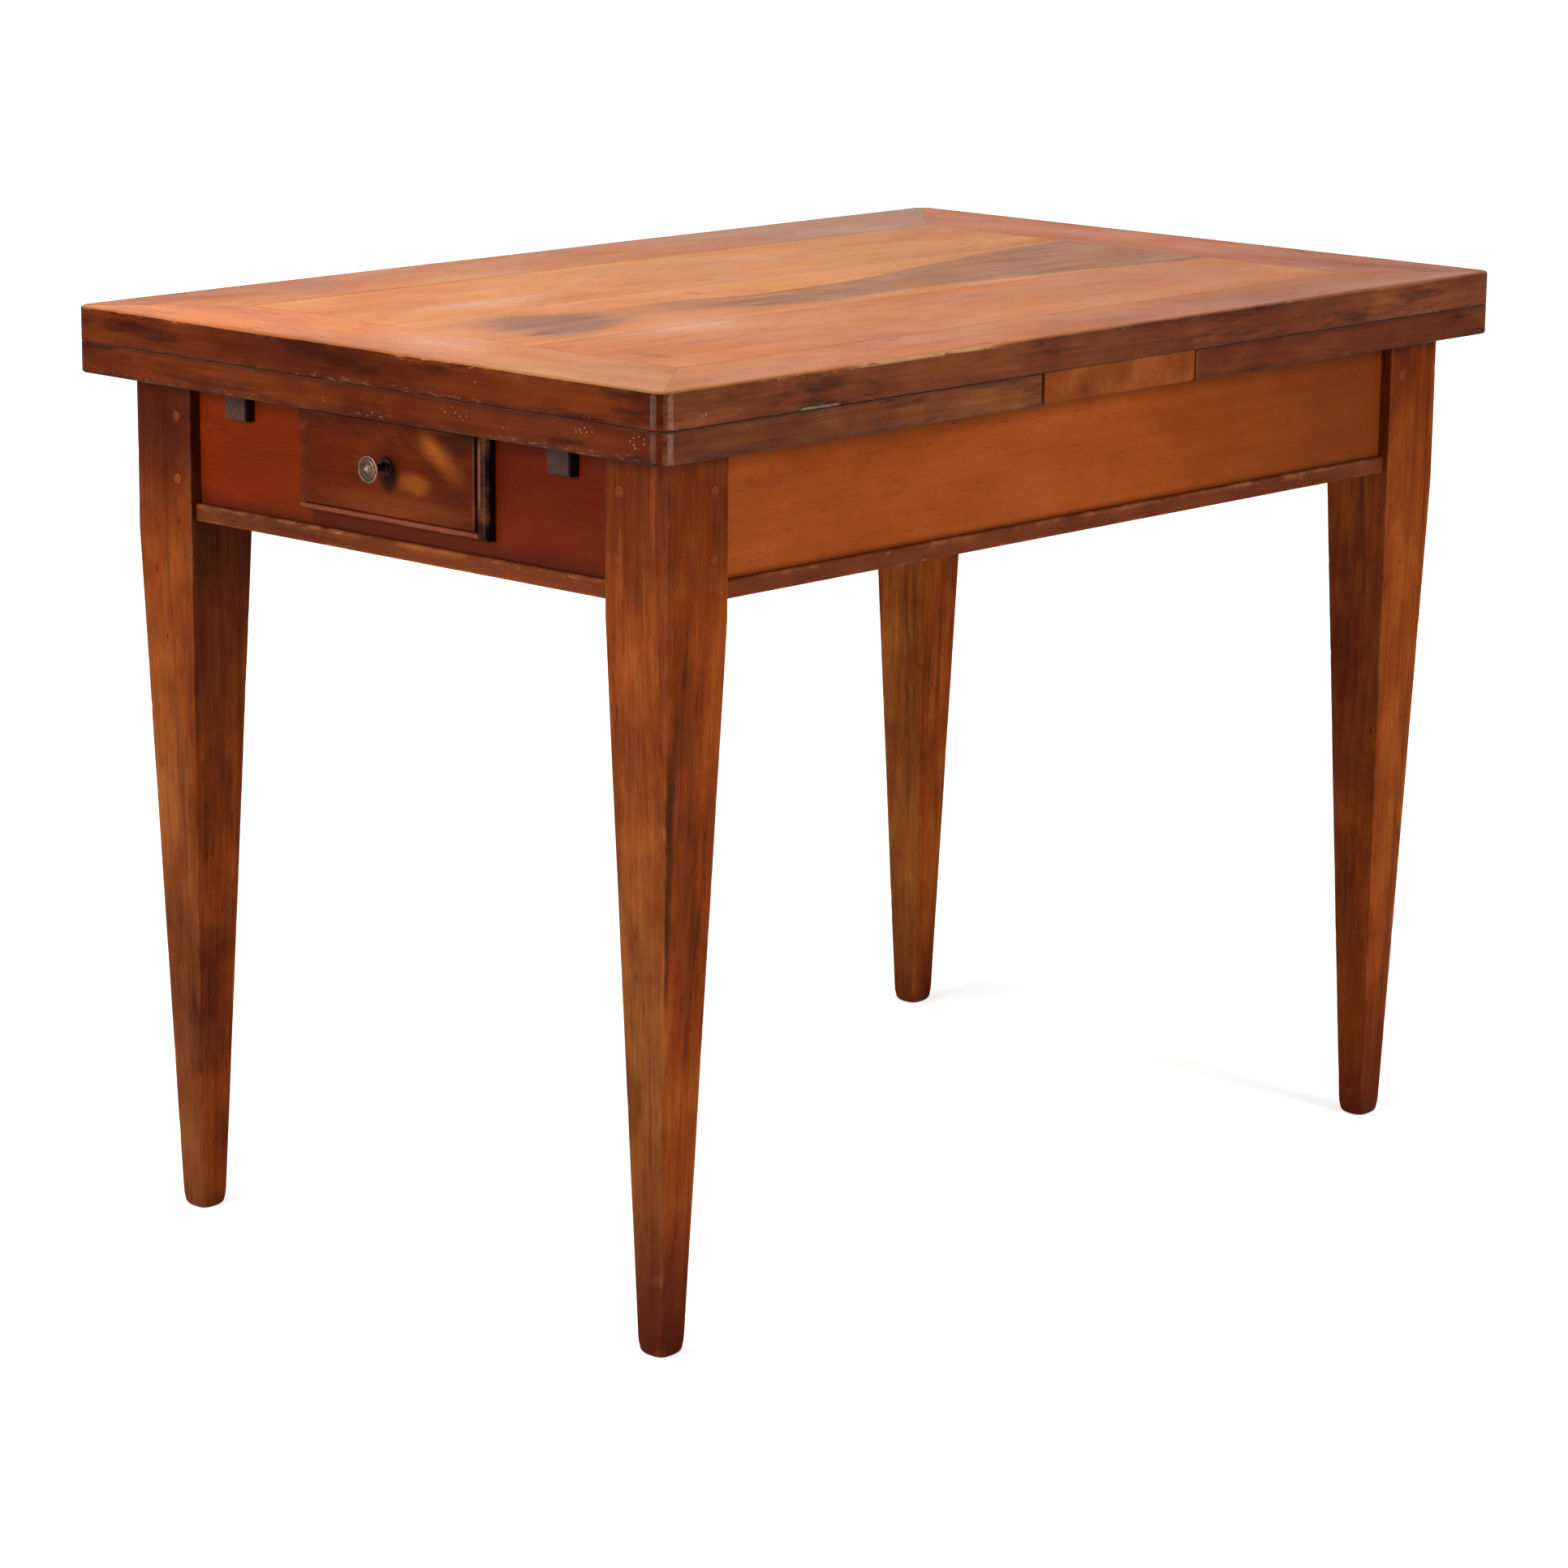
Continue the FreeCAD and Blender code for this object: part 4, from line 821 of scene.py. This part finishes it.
def worn_border(node, body, edge, corner, along, inward, seed, kind):
    """A border board with its arris rubbed unevenly, swept along its edge, nowhere proud of the
    CAD board. corner, along and inward place the edge's s and d on the table."""
    def to_world(s, d):
        return corner[0] + along[0] * s + inward[0] * d, corner[1] + along[1] * s + inward[1] * d

    shell = Shell()
    low, high = (end.z for end in span(node))
    stations = edge.stations()
    for index, ((s, d0), share) in enumerate(stations):
        at_mitre = index in (0, len(stations) - 1)
        inner_s = edge.inner[0] + (edge.inner[1] - edge.inner[0]) * share
        x, y = to_world(s, d0)
        nick = max(0, ripple((x, y, low), 7 * MM, seed + 3) - 0.38) * kind.chips
        top_round = kind.top * (0.85 + 0.35 * ripple((x, y, high), 90 * MM, seed)) + nick * 2.6 * MM
        under_round = kind.under * (0.9 + 0.3 * ripple((x, y, low), 60 * MM, seed + 5)) + nick * 0.8 * MM
        rounds = max(top_round, LEAST_ARRIS), max(under_round, LEAST_ARRIS)
        section = border_section(edge.width, low, high, *rounds, kind.rubbed)
        for depth, z, worn, soiled in section:
            along_edge = s + (inner_s - s) * depth / edge.width
            across = d0 + (edge.width - d0) * depth / edge.width
            px, py = to_world(along_edge, across)
            hollow = 0.1 * MM * (1 + ripple((px, py, z), 70 * MM, seed + 9))
            if at_mitre:
                z = min(z, high - MITRE_DEPTH)
                soiled = max(soiled, 0.3) if z > high - MM else soiled
            elif z > high - HAIR and depth < edge.width - 4 * MM:
                z -= hollow * 0.5
            if depth < HAIR:
                px, py = to_world(along_edge, across + hollow)
            shell.add((px, py, z), min(1, worn * (1 + 2 * nick)), soiled)
    shell.sweep(len(stations), len(section))
    shell.stand_for(node, body)


def make_top_borders():
    sides = {side: span("top_%s_border" % side) for side in ("left", "right", "front", "back")}
    x0, x1 = sides["left"][0].x, sides["right"][1].x
    y0, y1 = sides["front"][0].y, sides["back"][1].y
    widths = {"left": sides["left"][1].x - x0, "right": x1 - sides["right"][0].x,
              "front": sides["front"][1].y - y0, "back": y1 - sides["back"][0].y}
    # Each side: its length, the sides met at its start and end, its first corner, the ways along and inward
    rows = (("front", x1 - x0, "left", "right", (x0, y0), (1, 0), (0, 1)),
            ("back", x1 - x0, "right", "left", (x1, y1), (-1, 0), (0, -1)),
            ("left", y1 - y0, "back", "front", (x0, y1), (0, -1), (1, 0)),
            ("right", y1 - y0, "front", "back", (x1, y0), (0, 1), (-1, 0)))
    for seed, (side, length, first, last, *placing) in enumerate(rows, 11):
        edge = Edge(length, widths[side], widths[first], widths[last], TOP_CORNER, TOP_CORNER)
        worn_border("top_%s_border" % side, "loose_top", edge, *placing, seed, TOP_WEAR)


def make_leaf_borders(side, way):
    """The three outer borders of a leaf. way is -1 for the leaf at the drawer end."""
    front, back, outer = ("%s_leaf_%s_border" % (side, name) for name in ("front", "back", side))
    front_low, front_high = span(front)
    outer_low, outer_high = span(outer)
    width, outer_width = front_high.y - front_low.y, outer_high.x - outer_low.x
    x_outer, x_inner = (outer_low.x, front_high.x) if way < 0 else (outer_high.x, front_low.x)
    y0, y1 = front_low.y, span(back)[1].y
    short = Edge(abs(x_inner - x_outer), width, outer_width, 0, TOP_CORNER, LEAF_INNER_CORNER)
    long = Edge(y1 - y0, outer_width, width, width, TOP_CORNER, TOP_CORNER)
    rows = ((front, short, (x_outer, y0), (-way, 0), (0, 1)),
            (back, short, (x_outer, y1), (-way, 0), (0, -1)),
            (outer, long, (x_outer, y0), (0, 1), (-way, 0)))
    for seed, (node, *placing) in enumerate(rows, 31 + way):
        worn_border(node, side + "_leaf", *placing, seed, LEAF_WEAR)


# Legs, strips, drawer front and knob

LEG_TAPER = mm(16.5, 19.5)
LEG_FOOT, LEG_BLOCK_DROP, LEG_ARRIS = mm(25, 12.5, 0.9)
LEG_RINGS, BLOCK_RINGS = 96, 22
FOOT_CORNER, FOOT_CORNER_RISE, FOOT_ROUND, FOOT_DIRT_RISE = mm(6.5, 15, 5, 45)
FOOT_CORNER_LIMIT = 0.42


def leg_ring(x0, y0, size, radii):
    """(x, y, wear) round a square with worn corners, radii holding one value a corner."""
    ring = []
    x1, y1 = x0 + size, y0 + size
    corners = ((x0, y0, 1, 1), (x1, y0, -1, 1), (x1, y1, -1, -1), (x0, y1, 1, -1))
    centres = [(x + way_x * r, y + way_y * r) for (x, y, way_x, way_y), r in zip(corners, radii)]
    for corner in range(4):
        start = 180 + 90 * corner
        after = (corner + 1) % 4
        curve = arc(centres[corner], radii[corner], start, start + 90, 5)
        ring += [(x, y, 1) for x, y in curve]
        a = curve[-1]
        b = arc(centres[after], radii[after], start + 90, start + 91, 1)[0]
        run = math.dist(a, b)
        rubbed = min(1.6 * MM / run, 0.12)
        sound = min(5 * MM / run, 0.3)
        for share in (rubbed, sound, 0.36, 0.5, 0.64, 1 - sound, 1 - rubbed):
            worn = 0.35 if share in (rubbed, 1 - rubbed) else 0
            ring.append((a[0] + (b[0] - a[0]) * share, a[1] + (b[1] - a[1]) * share, worn))
    return ring


def make_leg(corner, seed):
    node = "leg_" + corner
    low, high = span(node)
    size = high.x - low.x
    ways = [1 if high[axis] > 0 else -1 for axis in (0, 1)]
    outer = [(high if way > 0 else low)[axis] for axis, way in enumerate(ways)]
    block_foot = span("front_strip")[0].z - LEG_BLOCK_DROP
    heights = [FOOT_ROUND * (1 - math.sin(math.pi / 2 * step / 5)) for step in range(5, 0, -1)]
    heights += [FOOT_ROUND + (block_foot - FOOT_ROUND) * step / LEG_RINGS for step in range(LEG_RINGS)]
    heights += [block_foot - 0.2 * MM, block_foot + 1.5 * MM]
    block = high.z - block_foot
    heights += [block_foot + block * step / BLOCK_RINGS for step in range(1, BLOCK_RINGS + 1)]
    shell = Shell()
    for z in heights:
        share = min(1, max(0, (block_foot - z) / (block_foot - FOOT_ROUND)))
        tuck = 0
        if z < FOOT_ROUND:
            tuck = FOOT_ROUND * (1 - math.sqrt(max(0, 1 - (1 - z / FOOT_ROUND) ** 2)))
        side = size + (LEG_FOOT - size) * share - 2 * tuck
        faces = [face - way * (taper * share + tuck) for face, way, taper in zip(outer, ways, LEG_TAPER)]
        x0, y0 = (face - side if way > 0 else face for face, way in zip(faces, ways))
        radii = []
        for index in range(4):
            rub = ripple((x0, y0, z), 60 * MM, seed + index * 5)
            nick = max(0, ripple((x0, y0, z), 8 * MM, seed + 20 + index * 5) - 0.42)
            worn_off = FOOT_CORNER * max(0, 1 - z / FOOT_CORNER_RISE) ** 2
            radius = LEG_ARRIS * (0.95 + 0.45 * rub) + nick * 2.4 * MM + worn_off
            radii.append(min(radius, FOOT_CORNER_LIMIT * side))
        ring = leg_ring(x0, y0, side, radii)
        middle_x, middle_y = x0 + side / 2, y0 + side / 2
        for x, y, worn in ring:
            dent = 0.5 + 0.5 * ripple((x, y, z), 45 * MM, seed + 40)
            bruise = max(0, ripple((x, y, z), 12 * MM, seed + 50) - 0.45)
            shrink = 1 - (0.12 * dent + 0.8 * bruise) * MM / max(abs(x - middle_x), abs(y - middle_y))
            shell.add((middle_x + (x - middle_x) * shrink, middle_y + (y - middle_y) * shrink, z),
                      min(1, 0.4 * worn + bruise), 0.55 * max(0, 1 - z / FOOT_DIRT_RISE) ** 2)
    shell.sweep(len(heights), len(ring))
    shell.stand_for(node, "base")


STRIP_SPACING, STRIP_ROUND, STRIP_UNDER_ROUND = mm(5, 2.2, 0.7)


def make_strip(node, seed):
    """A thin moulding with a rounded, rubbed upper arris. Its back lies on the apron."""
    low, high = span(node)
    along = 0 if high.x - low.x > high.y - low.y else 1
    across = 1 - along
    outward = 1 if low[across] + high[across] > 0 else -1
    back, face = (low[across], high[across])[::outward]
    length = high[along] - low[along]
    count = int(length / STRIP_SPACING)
    shell = Shell()
    for step in range(count + 1):
        run = low[along] + length * step / count
        rub = ripple((run, face, low.z), 70 * MM, seed)
        nick = max(0, ripple((run, face, low.z), 6 * MM, seed + 4) - 0.4)
        radius = STRIP_ROUND * (1 + 0.25 * rub) + 1.4 * MM * nick
        under_rub = ripple((run, face, high.z), 50 * MM, seed + 8)
        under = STRIP_UNDER_ROUND * (1 + 0.4 * under_rub) + MM * nick
        thick = abs(face - back) - 0.12 * MM * (1 + rub)
        section = [
            (0, high.z, 0, 1),
            (1.2 * MM, high.z, 0.1, 0.8),
            *((d, z, 1, 0) for d, z in arc((thick - radius, high.z - radius), radius, 90, 0, 5)),
            (thick, high.z - radius - 1.5 * MM, 0.35, 0),
            (thick, low.z + 4 * MM, 0, 0),
            (thick, low.z + under + MM, 0.3, 0),
            *((d, z, 0.8, 0) for d, z in arc((thick - under, low.z + under), under, 0, -90, 3)),
            (0, low.z, 0, 0.6)]
        for depth, z, worn, soiled in section:
            point = [0, 0, z]
            point[along] = run
            point[across] = back + outward * depth
            shell.add(point, worn, soiled)
    shell.sweep(count + 1, len(section))
    shell.stand_for(node, "base")


LIP_BACK_DEPTH, LIP_ROUND = mm(18, 4)
FIELD_INSET_SIDE, FIELD_INSET_HEIGHT, FIELD_PROUD = mm(11.5, 7, 1.5)
FIELD_GROOVE, FIELD_GROOVE_DEPTH = mm(1.6, 1.2)
FIELD_COLUMNS, FIELD_ROWS = 60, 26
DRAWER_SIDE_SKIN, DRAWER_BODY_ABOVE_SIDE, BLOCK_EASE = mm(0.15, 5.2, 0.6)


def rim_places(columns, rows):
    """Steps round the rim of a grid, as (column, row)."""
    return ([(i, 0) for i in range(columns)] + [(columns, j) for j in range(rows)]
            + [(i, rows) for i in range(columns, 0, -1)] + [(0, j) for j in range(rows, 0, -1)])


def make_drawer_front():
    """A lipped front with a moulded rim, a cut groove and a slightly raised field."""
    low, high = span("drawer_front")
    lip_back = high.x - LIP_BACK_DEPTH
    thick = lip_back - low.x - FIELD_PROUD
    proud = thick + FIELD_PROUD
    # Loops from the lip's back to the field: (inset at the sides, inset in height, depth, wear, grime)
    loops = [(0, 0, 0, 0, 0.9), (0, 0, thick - LIP_ROUND - 0.6 * MM, 0, 0.7)]
    loops += [(LIP_ROUND - r, LIP_ROUND - r, thick - LIP_ROUND + d, 0.45, 0)
              for r, d in arc((0, 0), LIP_ROUND, 0, 90, 6)]
    # Past the rounded edge each step is measured from the field's own edge: (step, depth, wear, grime)
    for step, *others in (
            (-FIELD_GROOVE - 0.5 * MM, thick, 0.2, 0),
            (-FIELD_GROOVE, thick - 0.15 * MM, 0.3, 0.3),
            (-FIELD_GROOVE + 0.4 * MM, thick - FIELD_GROOVE_DEPTH, 0, 0.7),
            (-0.3 * MM, thick - FIELD_GROOVE_DEPTH, 0, 0.7),
            (0, proud - 0.9 * MM, 0.2, 0.2),
            (0.4 * MM, proud - 0.2 * MM, 0.5, 0),
            (1.2 * MM, proud, 0.2, 0),
            (4 * MM, proud, 0, 0)):
        loops.append((FIELD_INSET_SIDE + step, FIELD_INSET_HEIGHT + step, *others))

    def place_of(inset_y, inset_z, i, j):
        return (low.y + inset_y + (high.y - low.y - 2 * inset_y) * i / FIELD_COLUMNS,
                low.z + inset_z + (high.z - low.z - 2 * inset_z) * j / FIELD_ROWS)

    shell = Shell()
    rim = rim_places(FIELD_COLUMNS, FIELD_ROWS)
    count = len(rim)
    for inset_y, inset_z, depth, worn, soiled in loops:
        for i, j in rim:
            y, z = place_of(inset_y, inset_z, i, j)
            rub = ripple((inset_y, y, z), 40 * MM, 7)
            sink = (0.14 * (1 + rub) + worn * max(0, ripple((inset_y, y, z), 7 * MM, 9) - 0.35)) * MM
            shell.add((lip_back - (max(0, depth - sink) if depth else 0), y, z), worn, soiled)
    for start in range(0, (len(loops) - 1) * count, count):
        for a in range(count):
            b = (a + 1) % count
            shell.faces.append((start + a, start + count + a, start + count + b, start + b))
    inset_y, inset_z = loops[-1][:2]
    grid = {place: (len(loops) - 1) * count + index for index, place in enumerate(rim)}
    for i in range(1, FIELD_COLUMNS):
        for j in range(1, FIELD_ROWS):
            y, z = place_of(inset_y, inset_z, i, j)
            grid[(i, j)] = len(shell.points)
            shell.add((lip_back - proud + 0.14 * MM * (1 + ripple((inset_y, y, z), 40 * MM, 7)), y, z))
    for i in range(FIELD_COLUMNS):
        for j in range(FIELD_ROWS):
            shell.faces.append((grid[(i, j)], grid[(i, j + 1)], grid[(i + 1, j + 1)], grid[(i + 1, j)]))
    shell.faces.append(tuple(range(count)))
    side_low, side_high = span("drawer_side_back")
    reach = side_high.y - DRAWER_SIDE_SKIN
    zs = (side_low.z, side_high.z + DRAWER_BODY_ABOVE_SIDE)
    add_block(shell, (lip_back - 0.5 * MM, high.x), reach, zs)
    shell.stand_for("drawer_front", "drawer", "moulded_drawer_front")


def add_block(shell, xs, reach, zs):
    """A block with eased edges, reaching as far to the front as to the back."""
    start = len(shell.points)
    x0, x1 = xs
    for x, inset in ((x0, BLOCK_EASE), (x0 + BLOCK_EASE, 0), (x1 - BLOCK_EASE, 0), (x1, BLOCK_EASE)):
        y, z0, z1 = reach - inset, zs[0] + inset, zs[1] - inset
        for point in ((x, -y, z0), (x, y, z0), (x, y, z1), (x, -y, z1)):
            shell.add(point)
    shell.sweep(4, 4, start)


# (out, radius, wear) in millimetres: the knob's flange from the drawer's face, then its collar and disc
KNOB_FLANGE = [(0, 7.2, 0.1), (0.9, 7.2, 0.2), (1.4, 6.8, 0.35), (1.6, 6.2, 0.2), (1.8, 4.8, 0),
               (2.4, 3.5, 0), (3.2, 3.05, 0)]
KNOB_HEAD = [(0, 3, 0), (0.6, 3.4, 0), (0.85, 4.3, 0.1), (1.1, 4.9, 0.35), (1.5, 5.2, 0.5),
             (1.9, 4.9, 0.35), (2.15, 4.3, 0.1), (2.4, 3.5, 0), (3.2, 3.1, 0), (3.9, 3.6, 0),
             (4.4, 5.2, 0), (4.6, 7, 0), (4.7, 9.2, 0.1), (4.9, 10.4, 0.3), (5.4, 10.9, 0.45),
             (5.9, 11, 0.5), (6.4, 10.9, 0.7), (6.9, 10.5, 0.9), (7.15, 10.1, 1), (7.15, 9.8, 0.6),
             (6.9, 9.5, 0.1), (6.7, 9.2, 0), (6.75, 8.2, 0), (6.9, 7.5, 0), (7.3, 7.1, 0.3),
             (7.45, 6.6, 0.35), (7.35, 6, 0.1), (7.3, 4.9, 0), (7.4, 4.3, 0.1), (7.9, 3.7, 0.5),
             (8.5, 3.3, 0.7), (9, 2.7, 0.8), (9.15, 2.1, 0.3), (9.2, 1.7, 0.2), (9.5, 1.4, 0.7),
             (9.9, 0.8, 0.9), (10, 0, 0.9)]
STUD_RADIUS, STUD_TIP, STUD_BARE = 2.5, 0.4, 19
THREAD_PITCH, THREAD_DEPTH = 0.8, 0.35
KNOB_SEGMENTS = 88


def make_knob():
    """The stud with its thread, then the flange and the head, turned round one axis."""
    low, high = span("drawer_knob")
    face = span("drawer_front")[0].x
    axis_y, axis_z = (low.y + high.y) / 2, (low.z + high.z) / 2
    reach = (high.x - face) / MM
    tip = -reach + STUD_TIP
    outline = [(-reach, 0, 0), (-reach, STUD_RADIUS - STUD_TIP, 0), (tip, STUD_RADIUS, 0)]
    for turn in range(int((reach - STUD_BARE) / THREAD_PITCH)):
        outline += [(tip + THREAD_PITCH * (turn + 0.5), STUD_RADIUS - THREAD_DEPTH, 0),
                    (tip + THREAD_PITCH * (turn + 1), STUD_RADIUS, 0.3)]
    head = (face - low.x) / MM - KNOB_HEAD[-1][0]
    outline += [(-0.05, STUD_RADIUS, 0), *KNOB_FLANGE]
    outline += [(head + out, *others) for out, *others in KNOB_HEAD]
    shell = Shell()
    for out, radius, worn in outline:
        for step in range(KNOB_SEGMENTS):
            angle = 2 * math.pi * step / KNOB_SEGMENTS
            y, z = radius * MM * math.cos(angle), radius * MM * math.sin(angle)
            shell.add((face - out * MM, axis_y + y, axis_z + z), worn)
    shell.band(len(outline), KNOB_SEGMENTS)
    piece = shell.stand_for("drawer_knob", "drawer", "turned_drawer_knob", 50)
    piece.modifiers.new("weld", "WELD").merge_threshold = HAIR


# Stage

WHITE = (1, 1, 1)
FLOOR_GREY = (0.86, 0.86, 0.86)
FLOOR_REACH = 14
ROOM_LIGHT = 0.22
# Each softbox: its name, place, aim, (width, height) and watts
SOFTBOXES = (
    ("key_left", (-3.2, 0.25, 1.7), (-0.4, 0, 0.65), (0.6, 0.6), 45),
    ("fill_front", (0.3, -3, 1.7), (0, -0.2, 0.6), (0.9, 0.7), 40),
    ("low_left", (-3, 0.4, 0.26), (-0.5, -0.3, 0.7), (1.9, 0.14), 20),
    ("low_front", (0.02, -2.9, 0.26), (-0.5, -0.3, 0.7), (1.9, 0.14), 14),
    ("overhead", (-1, 0.4, 2.3), (-0.35, 0, 0.76), (1.2, 1.2), 24))


def make_floor():
    """A plain floor, lit up to white where it is seen, that keeps the table's shadow."""
    corners = [(x * FLOOR_REACH, y * FLOOR_REACH, 0) for x, y in ((-1, -1), (1, -1), (1, 1), (-1, 1))]
    mesh = bpy.data.meshes.new("floor")
    mesh.from_pydata(corners, [], [(0, 1, 2, 3)])
    material = bpy.data.materials.new("floor_white")
    material.use_nodes = True
    g = Graph(material.node_tree)
    matt = g.node("BsdfDiffuse", FLOOR_GREY).outputs[0]
    away = g.vector("LENGTH", g.place(), (0, 0, 0))
    glow = g.node("Emission", WHITE, g.step(away, 0.6, 2.6, 0.66, 1.1)).outputs[0]
    path = g.node("LightPath").outputs
    seen = g.math("MAXIMUM", path["Is Camera Ray"], path["Is Transmission Ray"])
    lit = g.node("AddShader", matt, glow).outputs[0]
    g.node("OutputMaterial", g.node("MixShader", seen, matt, lit).outputs[0])
    mesh.materials.append(material)
    add_object("floor", mesh)


def make_world():
    """A dim even room, seen as white by the camera and in gloss and glass."""
    world = bpy.data.worlds.new("studio")
    bpy.context.scene.world = world
    world.use_nodes = True
    g = Graph(world.node_tree)
    path = g.node("LightPath").outputs
    seen = g.fold("MAXIMUM", [path["Is %s Ray" % kind] for kind in ("Camera", "Glossy", "Transmission")])
    room = g.node("Background", WHITE, ROOM_LIGHT).outputs[0]
    back = g.node("Background", WHITE, 1).outputs[0]
    g.node("OutputWorld", g.node("MixShader", seen, room, back).outputs[0])


def make_lights():
    for name, place, aim, size, watts in SOFTBOXES:
        light = bpy.data.lights.new(name, "AREA")
        light.shape = "RECTANGLE"
        light.size, light.size_y = size
        light.energy = watts
        lamp = add_object(name, light)
        lamp.location = place
        lamp.rotation_euler = (Vector(aim) - Vector(place)).to_track_quat("-Z", "Y").to_euler()


# The photograph's camera, solved from the edges of the table on a frame 1932 pixels across
PHOTO = 1932
FOCAL = 6133.86
CENTRE = (1003.995, 1022.872)
YAW, PITCH, ROLL = (math.radians(a) for a in (42.324, 13.587, 0.624))
CAMERA_PLACE = Vector((-3064.06, -2802.22, 1296.38)) * MM


def make_camera():
    data = bpy.data.cameras.new("camera")
    data.sensor_width = 36
    data.lens = FOCAL / PHOTO * data.sensor_width
    data.shift_x = (PHOTO / 2 - CENTRE[0]) / PHOTO
    data.shift_y = (CENTRE[1] - PHOTO / 2) / PHOTO
    data.clip_end = 100
    camera = add_object("camera", data)
    forward = Vector((math.cos(YAW) * math.cos(PITCH), math.sin(YAW) * math.cos(PITCH), -math.sin(PITCH)))
    turn = forward.to_track_quat("-Z", "Y").to_matrix()
    right, up = turn.col[0].copy(), turn.col[1].copy()
    matrix = turn.to_4x4()
    matrix.col[0].xyz = right * math.cos(ROLL) + up * math.sin(ROLL)
    matrix.col[1].xyz = up * math.cos(ROLL) - right * math.sin(ROLL)
    matrix.translation = CAMERA_PLACE
    camera.matrix_world = matrix
    bpy.context.scene.camera = camera


TIMBER = make_timbers()
for node, timber in TIMBER.items():
    dress(node, timber)
make_top_borders()
make_leaf_borders("left", -1)
make_leaf_borders("right", 1)
for seed, corner in enumerate(("left_front", "left_back", "right_front", "right_back"), 60):
    make_leg(corner, seed)
for seed, side in enumerate(("left", "right", "front", "back"), 80):
    make_strip(side + "_strip", seed)
make_drawer_front()
make_knob()
make_floor()
make_world()
make_lights()
make_camera()
bpy.context.scene.view_settings.view_transform = "Standard"
